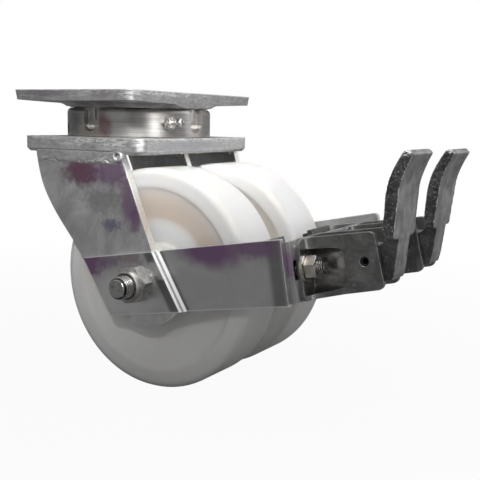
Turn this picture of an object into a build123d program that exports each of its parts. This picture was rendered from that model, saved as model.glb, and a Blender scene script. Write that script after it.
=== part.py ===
"""Heavy-duty twin-wheel swivel castor with two pedal brakes, as an assembly of its real pieces.

Millimetres, +Z up. The origin is the middle of the top plate's upper face, on the swivel axis,
which is the Z axis. +X is the trailing side, where the pedals are, and the axle runs along Y.
Heights below are measured from the ground that the wheels stand on, at Z = ground.
"""
import math
import os

from build123d import *

os.makedirs("parts", exist_ok=True)

# ---------------------------------------------------------------- driving sizes
# wheels
wheel_r = 100.0          # rolling radius, a 200 mm wheel
wheel_w = 54.0           # width of the tyre body
wheel_pitch = 96.0       # distance between the two wheels' middles
wheel_edge_r = 4.5       # round-over of the tread's edges
rim_inner_r = 81.5       # where the flat side of the rim ends
web_r = 54.0             # where the sloping side meets the flat web
web_depth = 10.0         # how far the web lies below the rim's side
hub_r = 29.5             # hub that holds the bearings
hub_proud = 1.5          # hub stands proud of the rim's side
trail = 72.0             # axle behind the swivel axis

# ball bearings in the hubs
bearing_od = 47.0
bearing_id = 20.0
bearing_w = 14.0
bearing_ball_d = 7.0
bearing_balls = 8
race_t = 3.6             # thickness of an inner or outer ring

# swivel head
ring_r = 70.0            # outer race
ring_h = 27.0
ring_edge_r = 4.5        # round-over of the outer race's upper edge
plate_x = 2 * ring_r     # top plate along the travel, as wide as the race
plate_y = 205.0          # top plate along the axle
plate_t = 8.7            # at the plate's corners
plate_dish = 1.9         # thicker than that round the boss, as forged
plate_corner_r = 9.0
plate_draft = 9.5        # degrees, the forged sides lean in downwards
bolt_x = 105.0           # mounting holes' spacing
bolt_y = 165.0
bolt_hole_d = 13.5
boss_r = ring_r + 9.0    # round boss under the plate, at its root
boss_foot_r = ring_r + 1.0
boss_h = 13.6            # from the plate's upper face to the boss's foot
lip_r = ring_r - 2.0     # dust lip under the boss, just above the outer race
lip_gap = 0.5
head_h = 42.0            # from the fork plate to the top plate's upper face
rim_t = 7.0              # thin upstanding rim of the outer race
ball_d = 10.0
ball_pitch_r = ring_r - 20.0
ball_count = 20
race_gap = 3.0           # between the two races at the balls
notch_w = 18.0           # lock notches round the rim
notch_turn = -2.5        # degrees, the first notch's place
notch_sill = 4.0         # from the fork plate to a notch's foot
notch_depth = 30.0       # cut upwards past the rim
plug_angle = -130.0
nipple_angle = -31.0
grease_hole_d = 5.2
grease_up = 6.4          # the grease hole above the balls' middles

# fork
tread_gap = 11.0         # between the wheels and the fork plate
fork_t = 14.0
fork_x = plate_x
fork_x_mid = 2.5
fork_y = 184.0
fork_corner_r = 10.0
fork_chamfer = 3.0
leg_t = 8.0
leg_out = 89.0           # outer face of the side legs
centre_leg_t = 7.0
leg_end_r = 40.0         # round end about the axle
centre_end_r = 36.0

# brake bracket, a sheet frame that rises backwards from the axle
rise = 9.8               # degrees
sheet = 5.0
arm_top = 26.3           # above and below the axle, square to the rise
arm_low = 28.0
arm_rear_top = -61.0
arm_rear_low = -38.0
arm_past = 41.0          # the arms run this far past the tread
far_arm_more = 16.0      # the far arm runs past the channel
far_arm_top = 31.0       # and is a little deeper there
step_angle = 31.05       # joggle line, parallel to the leg's front edge
step_in = 24.9           # distance of the joggle from the axle
step_run = 4.5
channel_web = 6.0        # its web stands this far behind the arms' ends
channel_deep = 35.0
channel_top = 23.5
channel_low = 26.5
channel_t = 4.0
housing_pitch = wheel_pitch
housing_w = 38.0         # over the two walls
wall_t = 4.0
flange_w = 60.0
flange_t = 4.0
flange_corner_r = 8.0
flare_r = 10.0           # bend from wall to flange
housing_top = 24.5
housing_low = 27.0
wall_corner_r = 5.5      # rear corners of the walls
fixing_span = 45.5       # between the two bolts of one housing
slot_w = 22.0
slot_h = 16.8
plunger_d = 10.0
pivot_back = 53.9        # pivot behind the channel's web
pivot_v = 1.6
pin_d = 8.0
pad_w = 50.0
pad_corner_r = 5.0
pad_foot = 19.5          # the pad's foot above the pivot
pad_head = 88.0          # the pad's top above the pivot
cam_r = 12.0
cam_lift = 5.0
cam_gap = 2.05           # plunger's end off the cam, at rest
pedal_throw = 50.0       # degrees
far_lean = 2.5           # degrees, the far pedal rests a little further back

# fasteners
axle_d = 20.0
axle_af = 30.0
axle_nut_h = 18.0
axle_head_h = 12.5
axle_washer_r = 15.6
axle_washer_t = 3.0
axle_proud = 12.0
stud_d = 12.0
stud_af = 18.0
stud_nut_h = 10.0
stud_head_h = 7.5
stud_washer_r = 12.0
stud_washer_t = 2.5
stud_proud = 6.0

# clearances
run = 0.06               # radial, turning or sliding pairs
seat = 0.03              # radial, fixed pairs that slip together
thread = 0.05            # radial, in a threaded hole
side_gap = 1.6           # pedal shank to housing wall
skirt_gap = 1.5          # top plate's skirt to the outer race's rim
face_gap = 0.7           # top plate's skirt to the outer race's core
hole_gap = 0.3           # radial, bolts and axle in their holes
through = 100.0          # a cut's length, well past what it cuts

# ---------------------------------------------------------------- derived places
fork_low = 2 * wheel_r + tread_gap
fork_top = fork_low + fork_t
plate_top = fork_top + head_h
ring_top = fork_top + ring_h
boss_bottom = plate_top - boss_h
ground = -plate_top
axle = Vector(trail, 0, wheel_r + ground)
hub_half = wheel_w / 2 + hub_proud
arm_out = leg_out + sheet
chan_out = leg_out
chan_in = chan_out - sheet
arm_end = wheel_r + arm_past
channel_front = arm_end + channel_web
channel_back = channel_front - channel_deep
pivot_u = channel_front + pivot_back
shank_w = housing_w - 2 * wall_t - 2 * side_gap
cos_r = math.cos(math.radians(rise))
sin_r = math.sin(math.radians(rise))
u_dir = Vector(cos_r, 0, sin_r)
v_dir = Vector(-sin_r, 0, cos_r)
ball_z = fork_top + ball_d / 2 + 2.2
core_top = ball_z + ball_d / 2 + 4.2
inner_race_r = ball_pitch_r - race_gap / 2
outer_race_r = ball_pitch_r + race_gap / 2
rim_in_r = ring_r - rim_t
skirt_r = rim_in_r - skirt_gap
lip_bottom = ring_top + lip_gap
bore_r = inner_race_r - 18
wheel_axis = Axis(axle, (0, 1, 0))


def at(u, v, y=0.0):
    """A point of the brake bracket: u along its rise from the axle, v square to it."""
    return axle + u_dir * u + v_dir * v + Vector(0, y, 0)


def level(height):
    """Level plane at a height above the ground."""
    return Plane.XY.offset(ground + height)


def upright(y):
    """Plane of the castor's side at y, its sketch in X and the height, facing -Y."""
    return Plane(origin=(0, y, ground), x_dir=(1, 0, 0), z_dir=(0, -1, 0))


def cross_face(x):
    """Plane across the castor at x, its sketch in Y and the height, facing +X."""
    return Plane(origin=(x, 0, ground), x_dir=(0, 1, 0), z_dir=(1, 0, 0))


def bracket_side(y):
    """Plane of the bracket's side at y, its sketch in u and v, facing -Y."""
    return Plane(origin=at(0, 0, y), x_dir=u_dir, z_dir=(0, -1, 0))


def bracket_face(u, y=0.0, v=0.0):
    """Plane square to the bracket's length at u, its sketch in Y and v, facing backwards."""
    return Plane(origin=at(u, v, y), x_dir=(0, 1, 0), z_dir=u_dir)


def bracket_plan(v):
    """Plane of the bracket seen from above at v, its sketch in u and Y."""
    return Plane(origin=at(0, v), x_dir=u_dir, z_dir=v_dir)


def radial(angle, r, height):
    """Plane square to a radius of the swivel head, its sketch in the tangent and Z."""
    a = math.radians(angle)
    out = (math.cos(a), math.sin(a), 0)
    origin = (r * out[0], r * out[1], ground + height)
    return Plane(origin=origin, x_dir=(-out[1], out[0], 0), z_dir=out)


# ---------------------------------------------------------------- swivel head
# forged top plate: mounting flange, boss and inner race in one forging, its sides drafted
plate_reach = math.hypot(plate_x, plate_y) / 2
plate_root = plate_top - plate_t - plate_dish
with BuildPart() as top_plate:
    with BuildSketch(upright(0)):
        with BuildLine():
            Polyline(
                (0, plate_top),
                (plate_reach, plate_top),
                (plate_reach, plate_top - plate_t),
                (boss_r, plate_root),
                (0, plate_root),
                close=True,
            )
        make_face()
    revolve(axis=Axis.Z)
    with BuildSketch(upright(0)):
        with BuildLine():
            Line((0, plate_root + 2), (boss_r, plate_root + 2))
            Line((boss_r, plate_root + 2), (boss_r, plate_root))
            boss_curve = ThreePointArc(
                (boss_r, plate_root),
                (boss_foot_r + 3.5, plate_root - 0.9),
                (boss_foot_r, boss_bottom),
            )
            Polyline(
                boss_curve @ 1,
                (lip_r, boss_bottom),
                (lip_r - 0.5, lip_bottom),
                (skirt_r, lip_bottom),
                (skirt_r, core_top + face_gap),
                (inner_race_r, core_top + face_gap),
                (inner_race_r, fork_top + 1.5),
                (bore_r + 2, fork_top + 1.5),
                (bore_r, plate_root),
                (0, plate_root),
                (0, plate_root + 2),
            )
        make_face()
    revolve(axis=Axis.Z)
    with BuildSketch(level(plate_top)):
        RectangleRounded(plate_x, plate_y, plate_corner_r)
    extrude(amount=-head_h, taper=plate_draft, mode=Mode.INTERSECT)
    with BuildSketch(upright(0)):
        with Locations((ball_pitch_r, ball_z)):
            Circle(ball_d / 2 + run)
    revolve(axis=Axis.Z, mode=Mode.SUBTRACT)
    with BuildSketch(level(plate_top)):
        with GridLocations(bolt_x, bolt_y, 2, 2):
            Circle(bolt_hole_d / 2)
    extrude(amount=-20, mode=Mode.SUBTRACT)

# outer race with its thin rim, four lock notches, the filling hole and the grease hole
with BuildPart() as swivel_ring:
    with BuildSketch(upright(0)) as ring_section:
        with BuildLine():
            Polyline(
                (outer_race_r, fork_top),
                (ring_r - 1.0, fork_top),
                (ring_r, fork_top + 1.0),
                (ring_r, ring_top),
                (rim_in_r, ring_top),
                (rim_in_r, core_top),
                (outer_race_r, core_top),
                close=True,
            )
        make_face()
        ring_corner = ring_section.vertices().group_by(Axis.Y)[-1].sort_by(Axis.X)[-1]
        fillet(ring_corner, radius=ring_edge_r)
    revolve(axis=Axis.Z)
    with BuildSketch(upright(0)):
        with Locations((ball_pitch_r, ball_z)):
            Circle(ball_d / 2 + run)
    revolve(axis=Axis.Z, mode=Mode.SUBTRACT)
    for quarter in range(4):
        notch_angle = notch_turn + 90 * quarter
        with BuildSketch(radial(notch_angle, rim_in_r, fork_top + notch_sill + notch_w / 2)):
            Circle(notch_w / 2)
            with Locations((0, notch_depth / 2)):
                Rectangle(notch_w, notch_depth)
        extrude(amount=rim_t + 2, mode=Mode.SUBTRACT)
    with BuildSketch(radial(plug_angle, ball_pitch_r + 2, ball_z)):
        Circle(ball_d / 2 + 0.2)
    extrude(amount=ring_r - ball_pitch_r, mode=Mode.SUBTRACT)
    with BuildSketch(radial(nipple_angle, ball_pitch_r + 2, ball_z + grease_up)):
        Circle(grease_hole_d / 2)
    extrude(amount=ring_r - ball_pitch_r, mode=Mode.SUBTRACT)

# swivel balls
with BuildPart() as swivel_balls:
    with Locations((0, 0, ground + ball_z)):
        with PolarLocations(ball_pitch_r, ball_count):
            Sphere(ball_d / 2)

# screwed plug that closes the filling hole, with its slot
with BuildPart() as fill_plug:
    with BuildSketch(radial(plug_angle, ball_pitch_r + ball_d / 2 + 1.5, ball_z)):
        Circle(ball_d / 2 + 0.2 - thread)
    extrude(amount=ring_r - ball_pitch_r - ball_d / 2 - 3.0)
    with BuildSketch(radial(plug_angle, ring_r - 3.2, ball_z)):
        Rectangle(8.0, 1.6)
    extrude(amount=3.0, mode=Mode.SUBTRACT)

# angled grease nipple: threaded shank, hexagon, bent neck and ball head
nipple_out = radial(nipple_angle, ring_r + 0.4, ball_z + grease_up)
nipple_head = nipple_out.origin + nipple_out.z_dir * 9 + nipple_out.x_dir * 8 + Vector(0, 0, 1.0)
with BuildPart() as grease_nipple:
    with BuildSketch(radial(nipple_angle, ring_r - 8, ball_z + grease_up)):
        Circle(grease_hole_d / 2 - thread)
    extrude(amount=9)
    with BuildSketch(nipple_out):
        RegularPolygon(6.0, 6, major_radius=False)
    extrude(amount=6.0)
    with BuildLine():
        nipple_bend = Polyline(
            nipple_out.origin + nipple_out.z_dir * 3.0,
            nipple_head,
        )
    with BuildSketch(Plane(origin=nipple_bend @ 0, z_dir=nipple_bend % 0)):
        Circle(3.0)
    sweep(path=nipple_bend)
    with Locations(Location(nipple_head)):
        Sphere(4.2)

# ---------------------------------------------------------------- fork
# fork plate, round hole in the middle, lower edges bevelled for the welds
with BuildPart() as fork_plate:
    with BuildSketch(level(fork_low)):
        with Locations((fork_x_mid, 0)):
            RectangleRounded(fork_x, fork_y, fork_corner_r)
        Circle(bore_r, mode=Mode.SUBTRACT)
    extrude(amount=fork_t)
    fork_lower = fork_plate.faces().sort_by(Axis.Z)[0].outer_wire().edges()
    chamfer(fork_lower, length=fork_chamfer)

# the side legs share one outline but for the far one's fuller front: swept back to a round
# end about the axle
leg_front_s = step_in - sheet / 2 - 1.0
step_c = math.cos(math.radians(step_angle))
step_s = math.sin(math.radians(step_angle))
leg_foot = math.sqrt(leg_end_r ** 2 - leg_front_s ** 2)
leg_front_low = (
    trail + leg_front_s * step_c + leg_foot * step_s,
    wheel_r + leg_front_s * step_s - leg_foot * step_c,
)
leg_rear = [
    (-53.0, fork_low),
    (trail - 117.2, wheel_r + 80.5),
    (trail - 101.8, wheel_r + 55.0),
    (trail - 69.5, wheel_r + 15.8),
]
leg_front_mid = (trail + 8.6, wheel_r + 28.6)
near_leg_top = 46.4      # front corner of each leg's top
far_leg_top = 60.8

with BuildPart() as near_leg:
    with BuildSketch(upright(-(leg_out - leg_t))):
        with BuildLine():
            Spline(*leg_rear, tangents=[(0.16, -1), (0.62, -0.8)])
            rear_foot = Line(leg_rear[-1], (trail - 29.2, wheel_r - 27.3))
            ThreePointArc(rear_foot @ 1, (trail + 4, wheel_r - leg_end_r), leg_front_low)
            Polyline(leg_front_low, leg_front_mid, (near_leg_top, fork_low), leg_rear[0])
        make_face()
        with Locations((trail, wheel_r)):
            Circle(axle_d / 2 + hole_gap, mode=Mode.SUBTRACT)
    extrude(amount=leg_t)

with BuildPart() as far_leg:
    mirror(near_leg.part, about=Plane.XZ)
    with BuildSketch(upright(leg_out)):
        with BuildLine():
            Polyline(
                leg_front_mid,
                (trail + 9.0, wheel_r + 50.0),
                (far_leg_top, fork_low),
                (near_leg_top - 10.0, fork_low),
                (trail - 20.0, wheel_r + 50.0),
                close=True,
            )
        make_face()
    extrude(amount=leg_t)

# narrower middle leg between the wheels
with BuildPart() as centre_leg:
    with BuildSketch(upright(-centre_leg_t / 2)):
        with BuildLine():
            Polyline(
                (-14, fork_low),
                (trail - 64, wheel_r + 60),
                (trail - 31, wheel_r - 18.5),
            )
            ThreePointArc(
                (trail - 31, wheel_r - 18.5),
                (trail, wheel_r - centre_end_r),
                (trail + 33.5, wheel_r - 13.2),
            )
            Polyline(
                (trail + 33.5, wheel_r - 13.2),
                (trail + 10, wheel_r + 42),
                (55.5, fork_low),
                (-14, fork_low),
            )
        make_face()
        with Locations((trail, wheel_r)):
            Circle(axle_d / 2 + hole_gap, mode=Mode.SUBTRACT)
    extrude(amount=-centre_leg_t)

# fillet welds along the legs' tops: outside, inside, and both sides of the middle leg
weld_out = 9.0           # the outer bead runs well down the leg
weld = 5.0
weld_rear = -50.0        # the side legs' beads start here
weld_short = 2.4         # and stop short of the legs' front corners
with BuildPart() as leg_welds:
    for leg_side, leg_top in ((-1, near_leg_top), (1, far_leg_top)):
        outer = leg_side * leg_out
        inner = leg_side * (leg_out - leg_t)
        with BuildSketch(cross_face(weld_rear)):
            with BuildLine():
                Polyline(
                    (outer, fork_low),
                    (outer + leg_side * fork_chamfer, fork_low + fork_chamfer),
                    (outer + leg_side * 1.5, fork_low - 0.7 * weld_out),
                    (outer, fork_low - weld_out),
                    close=True,
                )
            make_face()
        extrude(amount=leg_top - weld_short - weld_rear)
        with BuildSketch(cross_face(weld_rear + 2)):
            with BuildLine():
                Polyline(
                    (inner, fork_low),
                    (inner - leg_side * weld, fork_low),
                    (inner, fork_low - weld),
                    close=True,
                )
            make_face()
        extrude(amount=leg_top - weld_short - weld_rear - 2)
        middle = leg_side * centre_leg_t / 2
        with BuildSketch(cross_face(-11)):
            with BuildLine():
                Polyline(
                    (middle, fork_low),
                    (middle + leg_side * weld, fork_low),
                    (middle, fork_low - weld),
                    close=True,
                )
            make_face()
        extrude(amount=66)

# ---------------------------------------------------------------- wheels
near_mid = -wheel_pitch / 2
half_w = wheel_w / 2
with BuildPart() as near_wheel:
    with BuildSketch(Plane(origin=(trail, near_mid, axle.Z))):
        with BuildLine():
            Polyline(
                (wheel_r, half_w - wheel_edge_r),
                (wheel_r - 1.3, half_w - 1.3),
                (wheel_r - wheel_edge_r, half_w),
                (rim_inner_r + 1.5, half_w),
                (rim_inner_r, half_w - 1.5),
                (web_r + 4, half_w - web_depth + 1.2),
                (web_r, half_w - web_depth),
                (hub_r + 4, half_w - web_depth),
                (hub_r, half_w - web_depth + 5),
                (hub_r - 1, hub_half),
                (bearing_od / 2 + seat, hub_half),
                (bearing_od / 2 + seat, hub_half - bearing_w),
                (bearing_od / 2 - 2.5, hub_half - bearing_w),
                (bearing_od / 2 - 2.5, -hub_half + bearing_w),
                (bearing_od / 2 + seat, -hub_half + bearing_w),
                (bearing_od / 2 + seat, -hub_half),
                (hub_r - 1, -hub_half),
                (hub_r, -half_w + web_depth - 5),
                (hub_r + 4, -half_w + web_depth),
                (web_r, -half_w + web_depth),
                (web_r + 4, -half_w + web_depth - 1.2),
                (rim_inner_r, -half_w + 1.5),
                (rim_inner_r + 1.5, -half_w),
                (wheel_r - wheel_edge_r, -half_w),
                (wheel_r - 1.3, -half_w + 1.3),
                (wheel_r, -half_w + wheel_edge_r),
                close=True,
            )
        make_face()
    revolve(axis=wheel_axis)

with BuildPart() as far_wheel:
    mirror(near_wheel.part, about=Plane.XZ)

# hub bearings: outer rings and balls turn with the wheel, inner rings stay on the axle
bearing_mid = (bearing_od + bearing_id) / 4
bearing_offset = hub_half - bearing_w / 2
with BuildPart() as near_bearing_rings:
    for row_y in (near_mid - bearing_offset, near_mid + bearing_offset):
        with BuildSketch(Plane(origin=(trail, row_y, axle.Z))):
            with Locations((bearing_od / 2 - race_t / 2, 0)):
                Rectangle(race_t, bearing_w)
            with Locations((bearing_mid, 0)):
                Circle(bearing_ball_d / 2 + run, mode=Mode.SUBTRACT)
        revolve(axis=wheel_axis)

with BuildPart() as far_bearing_rings:
    mirror(near_bearing_rings.part, about=Plane.XZ)

with BuildPart() as near_bearing_balls:
    for row_y in (near_mid - bearing_offset, near_mid + bearing_offset):
        with Locations(Plane(origin=(trail, row_y, axle.Z), z_dir=(0, 1, 0))):
            with PolarLocations(bearing_mid, bearing_balls):
                Sphere(bearing_ball_d / 2)

with BuildPart() as far_bearing_balls:
    mirror(near_bearing_balls.part, about=Plane.XZ)

with BuildPart() as inner_rings:
    for wheel_mid in (near_mid, -near_mid):
        for row_y in (wheel_mid - bearing_offset, wheel_mid + bearing_offset):
            with BuildSketch(Plane(origin=(trail, row_y, axle.Z))):
                with Locations((bearing_id / 2 + race_t / 2 + seat / 2, 0)):
                    Rectangle(race_t - seat, bearing_w)
                with Locations((bearing_mid, 0)):
                    Circle(bearing_ball_d / 2 + run, mode=Mode.SUBTRACT)
            revolve(axis=wheel_axis)

# sleeves on the axle: long ones between a wheel's bearings, short ones beside the hubs
long_sleeve = 2 * (hub_half - bearing_w)
outer_sleeve = leg_out - leg_t - (wheel_pitch / 2 + hub_half)
inner_sleeve = wheel_pitch / 2 - hub_half - centre_leg_t / 2
with BuildPart() as axle_sleeves:
    for sleeve_side in (-1, 1):
        for sleeve_y, sleeve_len in (
            (wheel_pitch / 2, long_sleeve),
            (leg_out - leg_t - outer_sleeve / 2, outer_sleeve),
            (centre_leg_t / 2 + inner_sleeve / 2, inner_sleeve),
        ):
            with BuildSketch(upright(sleeve_side * sleeve_y)):
                with Locations((trail, wheel_r)):
                    Circle(axle_d / 2 + 3.5)
                    Circle(axle_d / 2 + seat, mode=Mode.SUBTRACT)
            extrude(amount=sleeve_len / 2, both=True)

# ---------------------------------------------------------------- axle
# long bolt, its head on the far side
head_y = arm_out + axle_washer_t
with BuildPart() as axle_bolt:
    with BuildSketch(upright(head_y)):
        with Locations((trail, wheel_r)):
            Circle(axle_d / 2)
    extrude(amount=2 * arm_out + 2 * axle_washer_t + axle_nut_h + axle_proud)
    with BuildSketch(upright(head_y)):
        with Locations((trail, wheel_r)):
            RegularPolygon(axle_af / 2, 6, major_radius=False)
    extrude(amount=-axle_head_h)
    chamfer(axle_bolt.faces().sort_by(Axis.Y)[0].edges(), length=1.5)

with BuildPart() as axle_washers:
    for washer_side in (-1, 1):
        with BuildSketch(upright(washer_side * (arm_out + axle_washer_t / 2))):
            with Locations((trail, wheel_r)):
                Circle(axle_washer_r)
                Circle(axle_d / 2 + 0.4, mode=Mode.SUBTRACT)
        extrude(amount=axle_washer_t / 2, both=True)

# self-locking nut: hexagon with a round collar
with BuildPart() as axle_nut:
    with BuildSketch(upright(-head_y)):
        with Locations((trail, wheel_r)):
            RegularPolygon(axle_af / 2, 6, major_radius=False, rotation=12)
            Circle(axle_d / 2 + thread, mode=Mode.SUBTRACT)
    extrude(amount=axle_nut_h - 5)
    with BuildSketch(upright(-head_y - axle_nut_h + 5)):
        with Locations((trail, wheel_r)):
            Circle(axle_af / 2 - 1.2)
            Circle(axle_d / 2 + thread, mode=Mode.SUBTRACT)
    extrude(amount=5)
    collar = axle_nut.faces().sort_by(Axis.Y)[0].outer_wire().edges()
    chamfer(collar, length=2.0)

# ---------------------------------------------------------------- brake bracket
# side arm: one sheet, over the leg at the axle, then stepped in to the leg's own plane
step_plane = Plane(
    origin=at(0, 0),
    x_dir=(step_c, 0, step_s),
    z_dir=(-step_s, 0, step_c),
)
arm_section = [
    (-130, -arm_out),
    (step_in, -arm_out),
    (step_in + step_run, -leg_out),
    (230, -leg_out),
    (230, -leg_out + sheet),
    (step_in + step_run - 2.2, -leg_out + sheet),
    (step_in - 2.2, -leg_out),
    (-130, -leg_out),
]
with BuildPart() as near_arm:
    with BuildSketch(step_plane):
        with BuildLine():
            Polyline(*arm_section, close=True)
        make_face()
    extrude(amount=130, both=True)
    with BuildSketch(bracket_side(-chan_in + 5)):
        with BuildLine():
            Polyline(
                (arm_rear_top, arm_top),
                (arm_end, arm_top),
                (arm_end, -arm_low),
                (arm_rear_low, -arm_low),
                close=True,
            )
        make_face()
        Circle(axle_d / 2 + hole_gap, mode=Mode.SUBTRACT)
    extrude(amount=40, mode=Mode.INTERSECT)

# the far arm is the near one's mirror image but for its longer end
with BuildPart() as far_arm:
    with BuildSketch(step_plane):
        with BuildLine():
            Polyline(*[(along, -across) for along, across in arm_section], close=True)
        make_face()
    extrude(amount=130, both=True)
    with BuildSketch(bracket_side(chan_in - 5)) as far_arm_outline:
        with BuildLine():
            Polyline(
                (arm_rear_top, arm_top),
                (step_in + 10, arm_top),
                (arm_end + far_arm_more, far_arm_top),
                (arm_end + far_arm_more, -arm_low),
                (arm_rear_low, -arm_low),
                close=True,
            )
        make_face()
        fillet(far_arm_outline.vertices().sort_by(Axis((0, 0, 0), u_dir))[-2:], radius=4.0)
        Circle(axle_d / 2 + hole_gap, mode=Mode.SUBTRACT)
    extrude(amount=-40, mode=Mode.INTERSECT)

# cross channel welded between the arms, with four slots for the housings' bolts
bolt_rows = [
    side * (housing_pitch / 2 + end * fixing_span / 2) for side in (-1, 1) for end in (-1, 1)
]
with BuildPart() as cross_channel:
    with BuildSketch(bracket_plan(-channel_low)):
        with BuildLine():
            Polyline(
                (channel_back, -chan_in),
                (channel_front - 4.0, -chan_in),
                (channel_front - 1.2, -chan_in + 1.2),
                (channel_front, -chan_in + 4.0),
                (channel_front, chan_in - 4.0),
                (channel_front - 1.2, chan_in - 1.2),
                (channel_front - 4.0, chan_in),
                (channel_back, chan_in),
                (channel_back, chan_in - channel_t),
                (channel_front - channel_t, chan_in - channel_t),
                (channel_front - channel_t, -chan_in + channel_t),
                (channel_back, -chan_in + channel_t),
                close=True,
            )
        make_face()
    extrude(amount=channel_top + channel_low)
    with BuildSketch(bracket_face(channel_front - channel_t - 1)):
        with Locations(*[(row, 0) for row in bolt_rows]):
            RectangleRounded(slot_w, slot_h, 2.0)
        with Locations((-housing_pitch / 2, 0), (housing_pitch / 2, 0)):
            Circle(plunger_d / 2 + run)
    extrude(amount=channel_t + 2, mode=Mode.SUBTRACT)

# brake housing: a deep-drawn channel, open behind, its walls flared into flanges and a
# tapering pocket pressed into each wall so that the nut can be reached
housing_mid = -housing_pitch / 2
flange_back = channel_front + flange_t
pocket_half = stud_washer_r + 1.5
shell_t = wall_t - 0.5
# places along the bracket, each with the pocket's half width, middle, half height and corner
pocket_sections = (
    (flange_back, pocket_half, -3.5, 18.9, 8.0),
    (flange_back + 13.0, pocket_half - 2.3, -3.0, 17.9, 7.0),
    (pivot_u - 16.5, 3.6, -2.2, 16.5, 3.4),
)
with BuildPart() as pocket_shells:
    for row in bolt_rows[:2]:
        for pocket_u, half_y, mid_v, half_v, corner in pocket_sections:
            with BuildSketch(bracket_face(pocket_u, row, mid_v)):
                RectangleRounded(2 * (half_y + shell_t), 2 * (half_v + shell_t), corner + 2.0)
        loft()
    with BuildSketch(bracket_plan(-through / 2)):
        with Locations((flange_back + through / 2, housing_mid)):
            Rectangle(through, housing_w)
    extrude(amount=through, mode=Mode.INTERSECT)

with BuildPart() as near_housing:
    with BuildSketch(bracket_plan(-housing_low - 3)):
        with BuildLine():
            for flare_side in (-1, 1):
                rim = housing_mid + flare_side * flange_w / 2
                wall = housing_mid + flare_side * housing_w / 2
                Polyline(
                    (channel_front, housing_mid),
                    (channel_front, rim),
                    (flange_back, rim),
                    (flange_back, wall + flare_side * flare_r),
                )
                RadiusArc(
                    (flange_back, wall + flare_side * flare_r),
                    (flange_back + flare_r, wall),
                    -flare_side * flare_r,
                )
                Polyline(
                    (flange_back + flare_r, wall),
                    (flange_back + through, wall),
                    (flange_back + through, housing_mid),
                )
        make_face()
    extrude(amount=housing_top + housing_low + 6)
    with BuildSketch(bracket_side(housing_mid + flange_w)) as wall_outline:
        with BuildLine():
            Polyline(
                (channel_front - 1, housing_top),
                (pivot_u + 10.5, housing_top),
                (pivot_u + 14.1, -21.3),
                (pivot_u - 19.9, -23.4),
                (channel_front - 1, -housing_low),
                close=True,
            )
        make_face()
        wall_ends = wall_outline.vertices().sort_by(Axis((0, 0, 0), u_dir))
        fillet(wall_ends[-2:], radius=wall_corner_r)
    extrude(amount=2 * flange_w, mode=Mode.INTERSECT)
    front_mid_v = (housing_top - housing_low) / 2
    with BuildSketch(bracket_face(channel_front - 1, housing_mid, front_mid_v)):
        RectangleRounded(flange_w, housing_top + housing_low, flange_corner_r)
    extrude(amount=through, mode=Mode.INTERSECT)
    # the room between the walls
    with BuildSketch(bracket_plan(-through / 2)):
        with Locations((flange_back + through / 2, housing_mid)):
            Rectangle(through, housing_w - 2 * wall_t)
    extrude(amount=through, mode=Mode.SUBTRACT)
    # each pocket's shell, and then its hollow
    add(pocket_shells.part)
    for row in bolt_rows[:2]:
        for pocket_u, half_y, mid_v, half_v, corner in pocket_sections:
            with BuildSketch(bracket_face(pocket_u, row, mid_v)):
                RectangleRounded(2 * half_y, 2 * half_v, corner)
        loft(mode=Mode.SUBTRACT)
    # holes: the pin's through both walls, two for the bolts, one for the plunger
    with BuildSketch(bracket_side(0)):
        with Locations((pivot_u, pivot_v)):
            Circle(pin_d / 2 + seat)
    extrude(amount=housing_pitch, mode=Mode.SUBTRACT)
    with BuildSketch(bracket_face(channel_front - 1, housing_mid)):
        with Locations((-fixing_span / 2, 0), (fixing_span / 2, 0)):
            Circle(stud_d / 2 + 0.4)
        Circle(plunger_d / 2 + run)
    extrude(amount=flange_t + 2, mode=Mode.SUBTRACT)

with BuildPart() as far_housing:
    mirror(near_housing.part, about=Plane.XZ)

# housing bolts: head inside the channel, washer and nut in the pocket
head_face = channel_front - channel_t - stud_washer_t
nut_face = flange_back + stud_washer_t
with BuildPart() as housing_bolts:
    for row in bolt_rows:
        with BuildSketch(bracket_face(head_face, row)):
            Circle(stud_d / 2)
        stud = extrude(amount=nut_face + stud_nut_h + stud_proud - head_face)
        chamfer(stud.edges().sort_by(Axis((0, 0, 0), u_dir))[-1], length=1.2)
        with BuildSketch(bracket_face(head_face, row)):
            RegularPolygon(stud_af / 2, 6, major_radius=False, rotation=30)
        extrude(amount=-stud_head_h)

# oblong washers bridge the slots inside, round ones lie under the nuts
with BuildPart() as housing_washers:
    for row in bolt_rows:
        with BuildSketch(bracket_face(head_face, row)):
            RectangleRounded(stud_af, slot_h + 11, 2.0)
            Circle(stud_d / 2 + 0.4, mode=Mode.SUBTRACT)
        extrude(amount=stud_washer_t)
        with BuildSketch(bracket_face(flange_back, row)):
            Circle(stud_washer_r)
            Circle(stud_d / 2 + 0.4, mode=Mode.SUBTRACT)
        extrude(amount=stud_washer_t)

with BuildPart() as housing_nuts:
    for row in bolt_rows:
        with BuildSketch(bracket_face(nut_face, row)):
            RegularPolygon(stud_af / 2, 6, major_radius=False, rotation=10)
            Circle(stud_d / 2 + thread, mode=Mode.SUBTRACT)
        extrude(amount=stud_nut_h)

# hollow spring pins, a little short of the walls' outer faces
with BuildPart() as pivot_pins:
    for pin_side in (-1, 1):
        with BuildSketch(bracket_side(pin_side * housing_pitch / 2)):
            with Locations((pivot_u, pivot_v)):
                Circle(pin_d / 2)
                Circle(pin_d / 2 - 1.5, mode=Mode.SUBTRACT)
        extrude(amount=housing_w / 2 - 1.5, both=True)

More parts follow.
